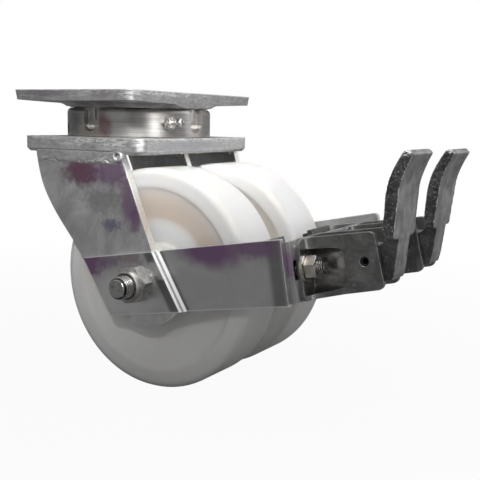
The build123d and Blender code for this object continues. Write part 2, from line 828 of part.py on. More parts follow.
# ---------------------------------------------------------------- pedals
# cast pedal: curved foot pad, shank down into the housing, hub on the pin and a rising cam
pivot = at(pivot_u, pivot_v)
pivot_h = pivot.Z - ground
cam_from = 180.0 + rise
cam_points = []
for step in range(0, 6):
    cam_angle = math.radians(cam_from + step * pedal_throw / 5)
    cam_reach = cam_r + step * cam_lift / 5
    cam_points.append(
        (pivot.X + cam_reach * math.cos(cam_angle), pivot_h + cam_reach * math.sin(cam_angle))
    )
pad_rear = [
    (pivot.X + 15.5, pivot_h + 27.0),
    (pivot.X + 15.6, pivot_h + 36.0),
    (pivot.X + 15.9, pivot_h + 47.2),
    (pivot.X + 17.3, pivot_h + 60.2),
    (pivot.X + 20.3, pivot_h + 70.2),
    (pivot.X + 25.7, pivot_h + 81.2),
    (pivot.X + 28.8, pivot_h + 87.2),
]
pad_front = [
    (pivot.X + 36.8, pivot_h + 84.8),
    (pivot.X + 32.9, pivot_h + 76.8),
    (pivot.X + 29.7, pivot_h + 68.7),
    (pivot.X + 27.6, pivot_h + 61.2),
    (pivot.X + 26.5, pivot_h + 49.2),
    (pivot.X + 25.5, pivot_h + 34.2),
    (pivot.X + 24.9, pivot_h + pad_foot),
]
with BuildPart() as near_pedal:
    with BuildSketch(upright(housing_mid)):
        with BuildLine():
            Spline(*pad_rear)
            Line(pad_rear[-1], (pivot.X + 33.8, pivot_h + pad_head))
            Line((pivot.X + 33.8, pivot_h + pad_head), pad_front[0])
            Spline(*pad_front)
            Line(pad_front[-1], (pivot.X + 22.5, pivot_h + pad_foot))
            ThreePointArc(
                (pivot.X + 22.5, pivot_h + pad_foot),
                (pivot.X + 17.6, pivot_h + pad_foot + 2.2),
                pad_rear[0],
            )
        make_face()
    extrude(amount=pad_w / 2, both=True)
    with BuildSketch(cross_face(pivot.X)):
        with Locations((housing_mid, pivot_h + (pad_foot + pad_head) / 2)):
            RectangleRounded(pad_w, pad_head - pad_foot, pad_corner_r)
    extrude(amount=through, mode=Mode.INTERSECT)
    with BuildSketch(upright(housing_mid)):
        with BuildLine():
            Polyline(
                (pivot.X + 15.5, pivot_h + 34.2),
                (pivot.X + 25.5, pivot_h + 34.2),
                (pivot.X + 24.9, pivot_h + pad_foot),
                (pivot.X + 22.9, pivot_h - 5.8),
                (pivot.X + 21.3, pivot_h - 13.8),
                (pivot.X + 16.8, pivot_h - 14.6),
                (pivot.X, pivot_h - cam_r - cam_lift + 1.0),
                *reversed(cam_points),
                (pivot.X - 10.4, pivot_h + 6.0),
                (pivot.X - 6.0, pivot_h + 10.4),
                (pivot.X, pivot_h + 12.0),
                (pivot.X + 6.5, pivot_h + 12.0),
                (pivot.X + 12.0, pivot_h + 15.5),
                (pivot.X + 14.6, pivot_h + 21.5),
                close=True,
            )
        make_face()
    extrude(amount=shank_w / 2, both=True)
    with BuildSketch(upright(housing_mid)):
        with Locations((pivot.X, pivot_h)):
            Circle(pin_d / 2 + run)
    extrude(amount=pad_w, both=True, mode=Mode.SUBTRACT)

pivot_axis = Axis((pivot.X, 0, pivot.Z), (0, 1, 0))
with BuildPart() as far_pedal:
    add(near_pedal.part.mirror(Plane.XZ).rotate(pivot_axis, far_lean))

# ---------------------------------------------------------------- brake shoes
# plunger through the channel, steel saddle and lining curved to the tread
shoe_gap = 4.0
lining_t = 6.0
saddle_t = 5.0
shoe_half = 12.5         # degrees of tread covered to each side
plunger_end = pivot_u - cam_r - cam_gap
with BuildPart() as near_shoe:
    with BuildSketch(bracket_side(housing_mid)) as saddle:
        Circle(wheel_r + shoe_gap + lining_t + saddle_t)
        Circle(wheel_r + shoe_gap + lining_t, mode=Mode.SUBTRACT)
        with BuildLine():
            shoe_reach = 200
            Polyline(
                (0, 0),
                (shoe_reach, -shoe_reach * math.tan(math.radians(shoe_half))),
                (shoe_reach, shoe_reach * math.tan(math.radians(shoe_half))),
                close=True,
            )
        make_face(mode=Mode.INTERSECT)
    extrude(amount=20, both=True)
    with BuildSketch(bracket_face(wheel_r + shoe_gap + lining_t + 2, housing_mid)):
        Circle(plunger_d / 2)
    extrude(amount=plunger_end - wheel_r - shoe_gap - lining_t - 2)

with BuildPart() as near_lining:
    with BuildSketch(bracket_side(housing_mid)):
        Circle(wheel_r + shoe_gap + lining_t)
        Circle(wheel_r + shoe_gap, mode=Mode.SUBTRACT)
        with BuildLine():
            Polyline(
                (0, 0),
                (shoe_reach, -shoe_reach * math.tan(math.radians(shoe_half - 1))),
                (shoe_reach, shoe_reach * math.tan(math.radians(shoe_half - 1))),
                close=True,
            )
        make_face(mode=Mode.INTERSECT)
    extrude(amount=19, both=True)

with BuildPart() as far_shoe:
    mirror(near_shoe.part, about=Plane.XZ)

with BuildPart() as far_lining:
    mirror(near_lining.part, about=Plane.XZ)

# ---------------------------------------------------------------- labels and files
top_plate.part.label = "top_plate"
export_step(top_plate.part, "parts/top_plate.step")
swivel_ring.part.label = "swivel_ring"
export_step(swivel_ring.part, "parts/swivel_ring.step")
swivel_balls.part.label = "swivel_balls"
export_step(swivel_balls.part, "parts/swivel_balls.step")
fill_plug.part.label = "fill_plug"
export_step(fill_plug.part, "parts/fill_plug.step")
grease_nipple.part.label = "grease_nipple"
export_step(grease_nipple.part, "parts/grease_nipple.step")
fork_plate.part.label = "fork_plate"
export_step(fork_plate.part, "parts/fork_plate.step")
near_leg.part.label = "near_leg"
export_step(near_leg.part, "parts/near_leg.step")
far_leg.part.label = "far_leg"
export_step(far_leg.part, "parts/far_leg.step")
centre_leg.part.label = "centre_leg"
export_step(centre_leg.part, "parts/centre_leg.step")
leg_welds.part.label = "leg_welds"
export_step(leg_welds.part, "parts/leg_welds.step")
near_wheel.part.label = "near_wheel"
export_step(near_wheel.part, "parts/near_wheel.step")
far_wheel.part.label = "far_wheel"
export_step(far_wheel.part, "parts/far_wheel.step")
near_bearing_rings.part.label = "near_bearing_rings"
export_step(near_bearing_rings.part, "parts/near_bearing_rings.step")
far_bearing_rings.part.label = "far_bearing_rings"
export_step(far_bearing_rings.part, "parts/far_bearing_rings.step")
near_bearing_balls.part.label = "near_bearing_balls"
export_step(near_bearing_balls.part, "parts/near_bearing_balls.step")
far_bearing_balls.part.label = "far_bearing_balls"
export_step(far_bearing_balls.part, "parts/far_bearing_balls.step")
inner_rings.part.label = "inner_rings"
export_step(inner_rings.part, "parts/inner_rings.step")
axle_sleeves.part.label = "axle_sleeves"
export_step(axle_sleeves.part, "parts/axle_sleeves.step")
axle_bolt.part.label = "axle_bolt"
export_step(axle_bolt.part, "parts/axle_bolt.step")
axle_washers.part.label = "axle_washers"
export_step(axle_washers.part, "parts/axle_washers.step")
axle_nut.part.label = "axle_nut"
export_step(axle_nut.part, "parts/axle_nut.step")
near_arm.part.label = "near_arm"
export_step(near_arm.part, "parts/near_arm.step")
far_arm.part.label = "far_arm"
export_step(far_arm.part, "parts/far_arm.step")
cross_channel.part.label = "cross_channel"
export_step(cross_channel.part, "parts/cross_channel.step")
near_housing.part.label = "near_housing"
export_step(near_housing.part, "parts/near_housing.step")
far_housing.part.label = "far_housing"
export_step(far_housing.part, "parts/far_housing.step")
housing_bolts.part.label = "housing_bolts"
export_step(housing_bolts.part, "parts/housing_bolts.step")
housing_washers.part.label = "housing_washers"
export_step(housing_washers.part, "parts/housing_washers.step")
housing_nuts.part.label = "housing_nuts"
export_step(housing_nuts.part, "parts/housing_nuts.step")
pivot_pins.part.label = "pivot_pins"
export_step(pivot_pins.part, "parts/pivot_pins.step")
near_pedal.part.label = "near_pedal"
export_step(near_pedal.part, "parts/near_pedal.step")
far_pedal.part.label = "far_pedal"
export_step(far_pedal.part, "parts/far_pedal.step")
near_shoe.part.label = "near_shoe"
export_step(near_shoe.part, "parts/near_shoe.step")
far_shoe.part.label = "far_shoe"
export_step(far_shoe.part, "parts/far_shoe.step")
near_lining.part.label = "near_lining"
export_step(near_lining.part, "parts/near_lining.step")
far_lining.part.label = "far_lining"
export_step(far_lining.part, "parts/far_lining.step")
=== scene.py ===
"""Looks of a heavy-duty twin-wheel swivel castor with two pedal brakes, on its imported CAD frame.

Metres, +Z up. The origin is the middle of the top plate's upper face, +X is the side of the
pedals, and -Y is the near side. Sizes in fields and arguments are in millimetres unless the
text says metres.
"""

import logging
import math
from dataclasses import dataclass
from enum import Enum
from typing import Callable, Iterable, Sequence

import bmesh
import bpy
from mathutils import Matrix, Vector, noise


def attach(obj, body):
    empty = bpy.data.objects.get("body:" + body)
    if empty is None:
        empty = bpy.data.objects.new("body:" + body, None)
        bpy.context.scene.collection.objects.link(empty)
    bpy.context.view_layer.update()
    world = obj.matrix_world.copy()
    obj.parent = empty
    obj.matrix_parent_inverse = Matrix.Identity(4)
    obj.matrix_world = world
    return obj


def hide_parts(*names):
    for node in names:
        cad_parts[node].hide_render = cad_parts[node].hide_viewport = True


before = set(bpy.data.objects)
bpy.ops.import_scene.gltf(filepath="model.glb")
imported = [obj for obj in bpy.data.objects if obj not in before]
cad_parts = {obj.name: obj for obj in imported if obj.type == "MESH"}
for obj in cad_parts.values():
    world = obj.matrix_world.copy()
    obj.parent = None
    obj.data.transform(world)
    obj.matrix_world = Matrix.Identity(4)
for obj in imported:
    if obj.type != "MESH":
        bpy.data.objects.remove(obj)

Triple = tuple[float, float, float]
Profile = Sequence[tuple[float, float]]
Socket = bpy.types.NodeSocket
Material = bpy.types.Material
Piece = bpy.types.Object
BMesh = bmesh.types.BMesh

MM = 0.001
MERGE = 0.00001  # vertices nearer than this become one, in metres
LOG = logging.getLogger("castor")

AXLE: Triple = (72, 0, -167)  # the axle's middle
RISE = math.radians(9.8)  # how the brake bracket climbs
FOLD = math.radians(31.05)  # how the arm's fold leans
UP_ARM: Triple = (math.cos(RISE), 0, math.sin(RISE))
ACROSS_ARM: Triple = (-math.sin(RISE), 0, math.cos(RISE))
PAST_FOLD: Triple = (math.cos(FOLD), 0, math.sin(FOLD))

HEAT: Triple = (0.27, 0.135, 0.20)
HEAT_VIOLET: Triple = (0.30, 0.17, 0.32)
HEAT_BLUE: Triple = (0.20, 0.17, 0.33)
OIL: Triple = (0.30, 0.22, 0.30)


class Side(Enum):
    """The two sides of the castor: the sign of Y."""

    NEAR = -1
    FAR = 1

    @property
    def word(self) -> str:
        """The side's word in node names."""
        return self.name.lower()


class Slot(Enum):
    """Material slots of the record, passed with new pieces but not used."""

    ZINC_STEEL = "zinc_steel"
    BRIGHT_ZINC = "bright_zinc"
    CAST_STEEL = "cast_steel"
    LINING = "brake_lining"


# ---- materials


def grey(tone: float, warm: float = 0.0) -> Triple:
    """A linear grey.

    Args:
        tone: linear brightness.
        warm: share by which red gains and blue loses.

    Returns:
        The colour's three linear values.
    """
    return (tone * (1 + warm), tone, tone * (1 - warm))


@dataclass(frozen=True)
class Stain:
    """A coloured patch on a surface: heat tint, oil, dirt, a scuff, painted shade or a painted
    highlight.
    """

    middle: Triple
    reach: Triple
    colour: Triple
    share: float
    ragged: float
    lump: float


@dataclass(frozen=True)
class Band:
    """A soft straight band across a surface, such as painted shade beside a fold or a painted
    highlight along an edge.
    """

    direction: Triple
    low: float
    high: float
    soft: float
    colour: Triple
    share: float


class Nodes:
    """A node tree, with short calls for the nodes that the finishes and the studio share."""

    def __init__(self, tree: bpy.types.NodeTree) -> None:
        """Takes up a tree."""
        self.tree = tree

    def feed(self, target: Socket, source: object) -> None:
        """Links a socket to another, or gives it a value."""
        if isinstance(source, Socket):
            self.tree.links.new(source, target)
        elif target.type == "RGBA":
            target.default_value = (*source, 1.0)
        else:
            target.default_value = source

    def add(
        self, kind: str, feeds: dict | None = None, out: int | str = 0, **values: object
    ) -> Socket:
        """Adds a node.

        Args:
            kind: its type, without the first word ShaderNode.
            feeds: sockets or values for its inputs, by name or number.
            out: which of its outputs is wanted.
            values: its properties.

        Returns:
            The output.
        """
        node = self.tree.nodes.new("ShaderNode" + kind)
        for key, value in values.items():
            setattr(node, key, value)
        for key, source in (feeds or {}).items():
            self.feed(node.inputs[key], source)
        return node.outputs[out]

    def sum(self, kind: str, a: object, b: object = 0.0, clamp: bool = False) -> Socket:
        """The result of a Math node, held between 0 and 1 where clamp says so."""
        return self.add("Math", {0: a, 1: b}, operation=kind, use_clamp=clamp)

    def times(self, a: object, b: object) -> Socket:
        """The product of two numbers."""
        return self.sum("MULTIPLY", a, b)

    def plus(self, a: object, b: object) -> Socket:
        """The sum of two numbers."""
        return self.sum("ADD", a, b)

    def line(self, value: Socket, gain: float, base: float) -> Socket:
        """A number times a gain, on top of a base."""
        return self.plus(self.times(value, gain), base)

    def vector(self, kind: str, a: object, b: object = (0, 0, 0)) -> Socket:
        """The result of a Vector Math node, a number for a length or a dot product."""
        out = "Value" if kind in ("LENGTH", "DOT_PRODUCT") else "Vector"
        return self.add("VectorMath", {0: a, 1: b}, out, operation=kind)

    def part(self, vector: Socket, axis: str) -> Socket:
        """One component of a vector."""
        return self.add("SeparateXYZ", {0: vector}, axis)


class Recipe(Nodes):
    """One material, with the patterns that its finish is laid up from."""

    def __init__(self, name: str) -> None:
        """Starts a material of this name."""
        self.material = bpy.data.materials.new(name)
        self.material.use_nodes = True
        super().__init__(self.material.node_tree)
        self.shader = self.tree.nodes["Principled BSDF"]
        self.place = self.add("TexCoord", out="Object")
        self.facing = self.add("TexCoord", out="Normal")
        self.colour: Socket | None = None

    def square_to(self, axis: str) -> Socket:
        """How squarely a face looks along an axis, either way."""
        return self.sum("ABSOLUTE", self.part(self.facing, axis))

    def span(self, value: Socket, low: float, high: float) -> Socket:
        """An eased slope from 0 at low to 1 at high; low may be the larger.

        Args:
            value: the number that is mapped.
            low: where the result is 0.
            high: where it is 1.

        Returns:
            The result's socket.
        """
        feeds = {
            "Value": value, "From Min": min(low, high), "From Max": max(low, high),
            "To Min": float(low > high), "To Max": float(low < high),
        }
        return self.add("MapRange", feeds, clamp=True, interpolation_type="SMOOTHSTEP")

    def between(self, value: Socket, low: float, high: float, soft: float) -> Socket:
        """1 between two values, with soft slopes outside them."""
        return self.times(self.span(value, low - soft, low), self.span(value, high + soft, high))

    def along(self, direction: Triple) -> Socket:
        """Distance from the axle's middle along a unit direction, in millimetres."""
        shift = self.vector("SUBTRACT", self.place, [c * MM for c in AXLE])
        return self.vector("DOT_PRODUCT", shift, [c / MM for c in direction])

    def grain(
        self, size: float, detail: float = 4.0, rough: float = 0.55,
        stretch: Triple = (1, 1, 1), turn: float = 0.0, twist: float = 0.0,
    ) -> Socket:
        """Noise on the object's coordinates, first turned, then stretched.

        Args:
            size: the largest lump.
            detail: octaves.
            rough: strength of each finer octave.
            stretch: how much finer the noise is along each axis.
            turn: angle about Y, in degrees.
            twist: distortion.

        Returns:
            The noise's socket, about 0.5 in the mean.
        """
        spin = {"Vector": self.place, "Rotation": (0, math.radians(turn), 0)}
        return self.add("TexNoise", {
            "Vector": self.vector("MULTIPLY", self.add("Mapping", spin), stretch),
            "Scale": 1 / MM / size, "Detail": detail, "Roughness": rough, "Distortion": twist,
        }, "Fac")

    def patch(self, stain: Stain) -> Socket:
        """A stain's mask: 1 inside an ellipsoid with a soft, ragged edge, 0 outside.

        Args:
            stain: the stain, whose lump is the size of the noise that moves its edge.

        Returns:
            The mask's socket.
        """
        scaled = self.add("Mapping", {
            "Vector": self.place, "Scale": [1 / MM / r for r in stain.reach],
            "Location": [-m / r for m, r in zip(stain.middle, stain.reach)],
        })
        wobble = self.times(self.plus(self.grain(stain.lump, 4.0, 0.6), -0.5), 4 * stain.ragged)
        return self.span(self.plus(self.vector("LENGTH", scaled), wobble), 1.25, 0.45)

    def rim(self, width: float) -> Socket:
        """A mask that reaches this far from sharp edges."""
        bevel = self.add("Bevel", {"Radius": width * MM}, samples=6)
        flat = self.add("NewGeometry", out="Normal")
        return self.span(self.vector("DOT_PRODUCT", bevel, flat), 0.985, 0.80)

    def blend(self, share: object, under: object, over: object) -> Socket:
        """A mix of two colours by the share of over."""
        return self.add("Mix", {"Factor": share, 6: under, 7: over}, 2, data_type="RGBA")

    def base(self, share: Socket, tone: float, dark: float, light: float, *warm: float) -> None:
        """Starts the colour as a mottled grey.

        Args:
            share: how much of the light grey shows.
            tone: brightness that dark and light multiply.
            dark: share of the tone in the dark grey.
            light: share of the tone in the light grey.
            warm: warmth of the dark and of the light grey, if any.
        """
        cool, sunny = warm or (0.0, 0.0)
        self.colour = self.blend(share, grey(tone * dark, cool), grey(tone * light, sunny))

    def lay(self, over: object, *shares: object) -> None:
        """Lays a colour over what is there by the product of some masks and shares."""
        mask = shares[0]
        for share in shares[1:]:
            mask = self.times(mask, share)
        self.colour = self.blend(mask, self.colour, over)

    def stained(self, stains: Iterable[Stain], *where: Socket) -> None:
        """Lays stains over the colour, kept to a mask if one is given."""
        for stain in stains:
            self.lay(stain.colour, self.patch(stain), *where, stain.share)

    def edge_highlight_and_wear(
        self, width: float, lump: float, chips: tuple[float, float], share: float, tone: float
    ) -> None:
        """Lays painted highlight along the sharp edges, broken up by noise like worn plating.

        Args:
            width: reach from the edge.
            lump: size of the noise's lumps.
            chips: noise values where the painted highlight is gone and where it is whole.
            share: how much of the painted highlight shows.
            tone: its brightness.
        """
        whole = self.span(self.grain(lump, 4.0, 0.7), *chips)
        # painted highlight on the sharp edges, chipped like worn plating
        self.lay(grey(tone), self.rim(width), whole, share)

    def relief(self, height: Socket, depth: float, strength: float, soften: float = 0.0) -> None:
        """Bump on the shader's normal.

        Args:
            height: the height's socket.
            depth: the bump's distance.
            strength: its strength.
            soften: radius by which sharp edges look rounded.
        """
        feeds = {"Height": height, "Distance": depth * MM, "Strength": strength}
        if soften:
            feeds["Normal"] = self.add("Bevel", {"Radius": soften * MM}, samples=4)
        self.feed(self.shader.inputs["Normal"], self.add("Bump", feeds))

    def done(self, roughness: object, **others: object) -> None:
        """Feeds the shader.

        Args:
            roughness: roughness.
            others: values for its other sockets, named with underscores.
        """
        for key, source in {"Base_Color": self.colour, "Roughness": roughness, **others}.items():
            self.feed(self.shader.inputs[key.replace("_", " ")], source)


@dataclass(frozen=True)
class Finish:
    """What one material looks like; its children lay it up."""

    name: str

    def build(self) -> Material:
        """The finish as a material."""
        recipe = Recipe(self.name)
        self.lay_up(recipe)
        return recipe.material

    def lay_up(self, r: Recipe) -> None:
        """Lays the finish up in a recipe."""
        raise NotImplementedError


@dataclass(frozen=True)
class ZincPlate(Finish):
    """Zinc-plated sheet and plate steel, clouded and scratched, with stains, bands of painted
    shade and painted highlight, and painted highlight on the edges.
    """

    tone: float = 0.42
    spread: float = 0.25
    cloud: float = 22.0
    roughness: float = 0.36
    metallic: float = 0.92
    edge_tone: float = 0.95
    edge_width: float = 0.9
    edge_share: float = 0.9
    pits: float = 0.12
    stretch: Triple = (1, 1, 1)
    turn: float = 0.0
    soften: float = 0.5
    scratch: float = 0.3
    scratch_turns: tuple[float, ...] = (38.0, -24.0)
    stains: tuple[Stain, ...] = ()
    bands: tuple[Band, ...] = ()
    cut_edges: bool = False
    fold: bool = False
    fold_middle: float = 27.0

    def lay_up(self, r: Recipe) -> None:
        """Lays the finish up in a recipe."""
        cloud = r.grain(self.cloud, 6.0, 0.62, self.stretch, self.turn, 0.4)
        r.base(r.span(cloud, 0.30, 0.72), self.tone, 1 - self.spread, 1 + self.spread)
        for turn in self.scratch_turns:
            lines = r.span(r.grain(2.2, 2.0, 0.5, (2.6, 1, 0.16), turn), 0.60, 0.72)
            where = r.span(r.grain(24.0, 3.0), 0.46, 0.62)
            r.lay(grey(min(0.95, self.tone * 2)), lines, where, self.scratch)
        # bands of painted shade, painted shadow and painted highlight
        for band in self.bands:
            mask = r.between(r.along(band.direction), band.low, band.high, band.soft)
            r.lay(band.colour, mask, band.share)
        r.stained(self.stains)
        height = r.plus(r.times(r.grain(1.8, 3.0, 0.6), 0.5), r.times(cloud, 0.8))
        if self.cut_edges:
            height = self.cut_edge_highlight(r, height)
        if self.fold:
            self.fold_highlights(r)
        # painted highlight along the sharp edges
        r.edge_highlight_and_wear(self.edge_width, 5.0, (0.24, 0.46), self.edge_share, self.edge_tone)
        r.relief(height, self.pits, 0.8, self.soften)
        rough = r.line(r.grain(6.0, 4.0), 0.22, self.roughness - 0.11)
        r.done(rough, Metallic=self.metallic)

    def cut_edge_highlight(self, r: Recipe, height: Socket) -> Socket:
        """Finely ridged edges square to Y, painted bright as a highlight.

        Args:
            r: the material's recipe.
            height: relief so far.

        Returns:
            The new relief.
        """
        cut = r.span(r.square_to("Y"), 0.75, 0.35)
        ridges = r.grain(2.0, 4.0, 0.7, (1, 0.25, 1))
        # painted highlight on the cut edge faces
        bright = r.blend(r.span(ridges, 0.30, 0.50), grey(0.80, 0.03), grey(0.99, 0.03))
        r.lay(bright, cut)
        return r.plus(height, r.times(r.times(ridges, cut), 1.6))

    def fold_highlights(self, r: Recipe) -> None:
        """Two painted highlights along the fold's slope, broken up like wear, a greyer line
        between, and painted highlights on the ends.

        Args:
            r: the material's recipe.
        """
        slope = r.times(r.span(r.square_to("X"), 0.15, 0.35), r.span(r.square_to("Y"), 0.15, 0.35))
        middle = r.sum("ABSOLUTE", r.plus(r.along(PAST_FOLD), -self.fold_middle))
        edge_highlight_and_wear = r.span(r.plus(middle, r.times(r.grain(3.0, 4.0, 0.7), 0.8)), 0.7, 1.3)
        # painted highlights on the fold's two bends, darker between
        r.lay(r.blend(edge_highlight_and_wear, grey(0.32), grey(0.90)), slope)
        # painted highlight on the faces square to Z, the sheet's top and bottom edges
        r.lay(grey(0.98), r.span(r.square_to("Z"), 0.55, 0.85))


@dataclass(frozen=True)
class ForgedPlate(Finish):
    """Forged and zinc-plated plate: fine scale drawn out lengthwise, bright scuffs among painted
    highlights, painted highlight on the edges, brown dirt.
    """

    tone: float = 0.50
    bright: float = 0.98
    dirt_top: float = -6.0
    dirt_low: float = -15.0
    dirt: Triple = (0.20, 0.155, 0.11)
    dirt_share: float = 0.35
    edge_share: float = 0.9
    stains: tuple[Stain, ...] = ()
    scuffs_and_highlights: tuple[Stain, ...] = ()

    def lay_up(self, r: Recipe) -> None:
        """Lays the finish up in a recipe."""
        scale = r.grain(2.4, 5.0, 0.7, (0.40, 0.40, 1.6), 0, 0.3)
        cloud = r.grain(26.0, 4.0, 0.6)
        streak = r.grain(2.6, 4.0, 0.65, (0.12, 0.12, 1.6))
        r.base(r.span(scale, 0.34, 0.66), self.tone, 0.76, 1.18)
        r.lay(grey(self.tone * 1.35), r.span(cloud, 0.44, 0.66), 0.4)
        r.lay(grey(self.bright), r.span(streak, 0.56, 0.68), 0.45)
        # scuffs, with painted highlights on corners and top edges among them
        r.stained(self.scuffs_and_highlights, r.span(scale, 0.44, 0.56))
        r.stained(self.stains)
        band = r.span(r.part(r.place, "Z"), self.dirt_top * MM, self.dirt_low * MM)
        grime = r.span(r.grain(7.0, 5.0, 0.65, (1, 1, 2)), 0.38, 0.62)
        r.lay(self.dirt, band, grime, self.dirt_share)
        # painted highlight along the sharp edges
        r.edge_highlight_and_wear(1.8, 3.0, (0.28, 0.44), self.edge_share, self.bright)
        r.relief(r.plus(scale, r.times(streak, 0.5)), 0.22, 0.8, 1.2)
        r.done(r.line(scale, 0.3, 0.28), Metallic=0.88)


@dataclass(frozen=True)
class TurnedSteel(Finish):
    """Turned steel race: fine rings round Z, satin, with a rusty blush, patches of painted shade
    and a painted highlight, and painted highlight on the edges.
    """

    tone: float = 0.44
    roughness: float = 0.33
    oxide: Triple = (0.30, 0.26, 0.21)
    blush_and_painted_light: tuple[Stain, ...] = ()

    def lay_up(self, r: Recipe) -> None:
        """Lays the finish up in a recipe."""
        rings = r.grain(1.6, 3.0, 0.6, (0.02, 0.02, 2.0))
        cloud = r.grain(18.0, 4.0, 0.6)
        r.base(r.span(rings, 0.35, 0.65), self.tone, 0.85, 1.15, 0.03, 0.02)
        r.lay(self.oxide, r.span(cloud, 0.45, 0.7), 0.35)
        # rusty blush plus patches of painted shade and a painted highlight
        r.stained(self.blush_and_painted_light)
        # painted highlight along the sharp edges
        r.lay(grey(0.7), r.rim(0.8), 0.6)
        r.relief(rings, 0.05, 0.6, 0.5)
        r.done(r.line(cloud, 0.16, self.roughness - 0.08), Metallic=0.95)


@dataclass(frozen=True)
class Plated(Finish):
    """Bright plated fasteners, clear or yellow, with a little colour play, painted shade in the
    thread grooves and painted highlight on the edges.
    """

    tone: float = 0.55
    gold: float = 0.0
    roughness: float = 0.24
    yellow: Triple = (0.62, 0.50, 0.26)
    violet: Triple = (0.42, 0.33, 0.46)
    groove: Triple = (0.03, 0.03, 0.03)

    def lay_up(self, r: Recipe) -> None:
        """Lays the finish up in a recipe."""
        cloud = r.grain(5.0, 4.0, 0.6, twist=0.6)
        r.base(r.span(cloud, 0.35, 0.65), self.tone, 0.78, 1.15, 0.02, 0.01)
        r.lay(self.yellow, r.span(r.grain(8.0, 3.0, 0.5), 0.42, 0.60), self.gold)
        cool = r.span(r.grain(6.5, 3.0, 0.5, (1.3, 1, 0.8)), 0.56, 0.68)
        r.lay(self.violet, cool, self.gold * 0.5)
        # painted highlight along the sharp edges
        r.lay(grey(0.95), r.rim(0.5), 0.7)
        # painted shade in the thread grooves, by the groove depth
        depth = r.add("Attribute", None, "Fac", attribute_name="groove")
        r.lay(self.groove, r.span(depth, 0.25, 0.8))
        r.relief(cloud, 0.02, 0.4, 0.35)
        r.done(r.line(cloud, 0.2, self.roughness - 0.1), Metallic=1.0)


@dataclass(frozen=True)
class DarkPressing(Finish):
    """Dark plated pressed steel: smoked grey with a thin painted highlight on the edges."""

    tone: float = 0.27
    edge: float = 0.85
    roughness: float = 0.34

    def lay_up(self, r: Recipe) -> None:
        """Lays the finish up in a recipe."""
        cloud = r.grain(16.0, 5.0, 0.6, twist=0.5)
        scuff = r.grain(3.0, 4.0, 0.65, (0.5, 1, 1.6), -10.0)
        r.base(r.span(cloud, 0.35, 0.68), self.tone, 0.75, 1.3, 0.01, 0.02)
        r.lay(grey(self.tone * 2.4), r.span(scuff, 0.60, 0.74), 0.4)
        # painted highlight along the sharp edges
        r.edge_highlight_and_wear(0.9, 6.0, (0.28, 0.5), 0.85, self.edge)
        r.relief(r.plus(cloud, r.times(scuff, 0.3)), 0.18, 0.7, 0.8)
        r.done(r.line(scuff, 0.24, self.roughness - 0.12), Metallic=0.9)


@dataclass(frozen=True)
class RoughCasting(Finish):
    """Cast steel pedals: ground faces fore and aft, coarse sides painted darker as shade, with
    painted glints and painted highlights on the corners.
    """

    face: float = 0.38
    # tone of the flanks, painted darker than the faces as shade
    flank: float = 0.13
    spark: float = 0.95
    pad_low: float = -108.0

    def lay_up(self, r: Recipe) -> None:
        """Lays the finish up in a recipe."""
        side = r.square_to("Y")
        flank = r.span(side, 0.45, 0.75)
        cloud = r.grain(14.0, 5.0, 0.6, twist=0.4)
        crumbs = r.grain(1.6, 4.0, 0.75)
        shade = r.span(cloud, 0.35, 0.68)
        pad = r.span(r.part(r.place, "Z"), (self.pad_low - 4) * MM, self.pad_low * MM)
        # the flanks' darker copy: painted shade on the side faces
        r.base(shade, self.flank, 0.7, 1.4)
        # painted glints on the flanks, more on the pad
        r.lay(grey(self.spark), r.span(crumbs, 0.58, 0.66), r.line(pad, 0.6, 0.08))
        coarse = r.colour
        r.base(shade, self.face, 0.72, 1.3)
        r.lay(coarse, flank)
        # painted highlight on the corners between flank and face, chipped
        corner = r.between(side, 0.35, 0.80, 0.15)
        chips = r.span(r.grain(3.2, 4.0, 0.75), 0.42, 0.54)
        r.lay(grey(self.spark), corner, chips, r.line(pad, 0.7, 0.25))
        bite = r.times(crumbs, r.line(flank, 2.2, 0.25))
        r.relief(r.plus(bite, r.times(cloud, 0.6)), 0.5, 0.9, 1.2)
        r.done(r.line(cloud, 0.25, 0.34), Metallic=0.85)


@dataclass(frozen=True)
class Nylon(Finish):
    """White cast nylon, slightly see-through, with painted warm shade in the upper half of the
    sloping recess.
    """

    middle: Triple
    body: Triple = (0.74, 0.74, 0.73)
    # colour of the painted warm shade in the recess
    tan: Triple = (0.71, 0.58, 0.47)
    shade: Triple = (0.73, 0.70, 0.655)
    smudge: Triple = (0.45, 0.42, 0.38)
    inner: tuple[float, float] = (48.0, 58.0)
    outer: tuple[float, float] = (90.0, 66.0)

    def lay_up(self, r: Recipe) -> None:
        """Lays the finish up in a recipe."""
        x, _, z = (c * MM for c in self.middle)
        disc = r.add("Mapping", {"Vector": r.place, "Scale": (1, 0, 1), "Location": (-x, 0, -z)})
        radius = r.times(r.vector("LENGTH", disc), 1 / MM)
        cloud = r.grain(45.0, 3.0, 0.5)
        # painted warm shade in the sloping recess, kept to the upper half
        ring = r.times(r.span(radius, *self.inner), r.span(radius, *self.outer))
        ring = r.times(ring, r.span(r.part(r.place, "Z"), z - 0.03, z + 0.02))
        warm = r.sum("MULTIPLY", ring, r.line(cloud, 0.6, 0.5), clamp=True)
        r.colour = r.blend(warm, self.body, self.tan)
        r.lay(self.shade, r.span(cloud, 0.4, 0.7), 0.2)
        mark = r.grain(12.0, 5.0, 0.65, twist=0.8)
        r.lay(self.smudge, r.span(mark, 0.60, 0.76), 0.08)
        waves = {"Vector": disc, "Scale": 260.0}
        lathe = r.add("TexWave", waves, "Fac", wave_type="RINGS", rings_direction="Y")
        r.relief(r.plus(r.times(lathe, 0.15), mark), 0.04, 0.3, 7.0)
        r.done(
            r.line(mark, 0.2, 0.22), Subsurface_Weight=0.35, Subsurface_Scale=0.006,
            Subsurface_Radius=(1.0, 0.85, 0.65), Coat_Weight=0.15,
        )


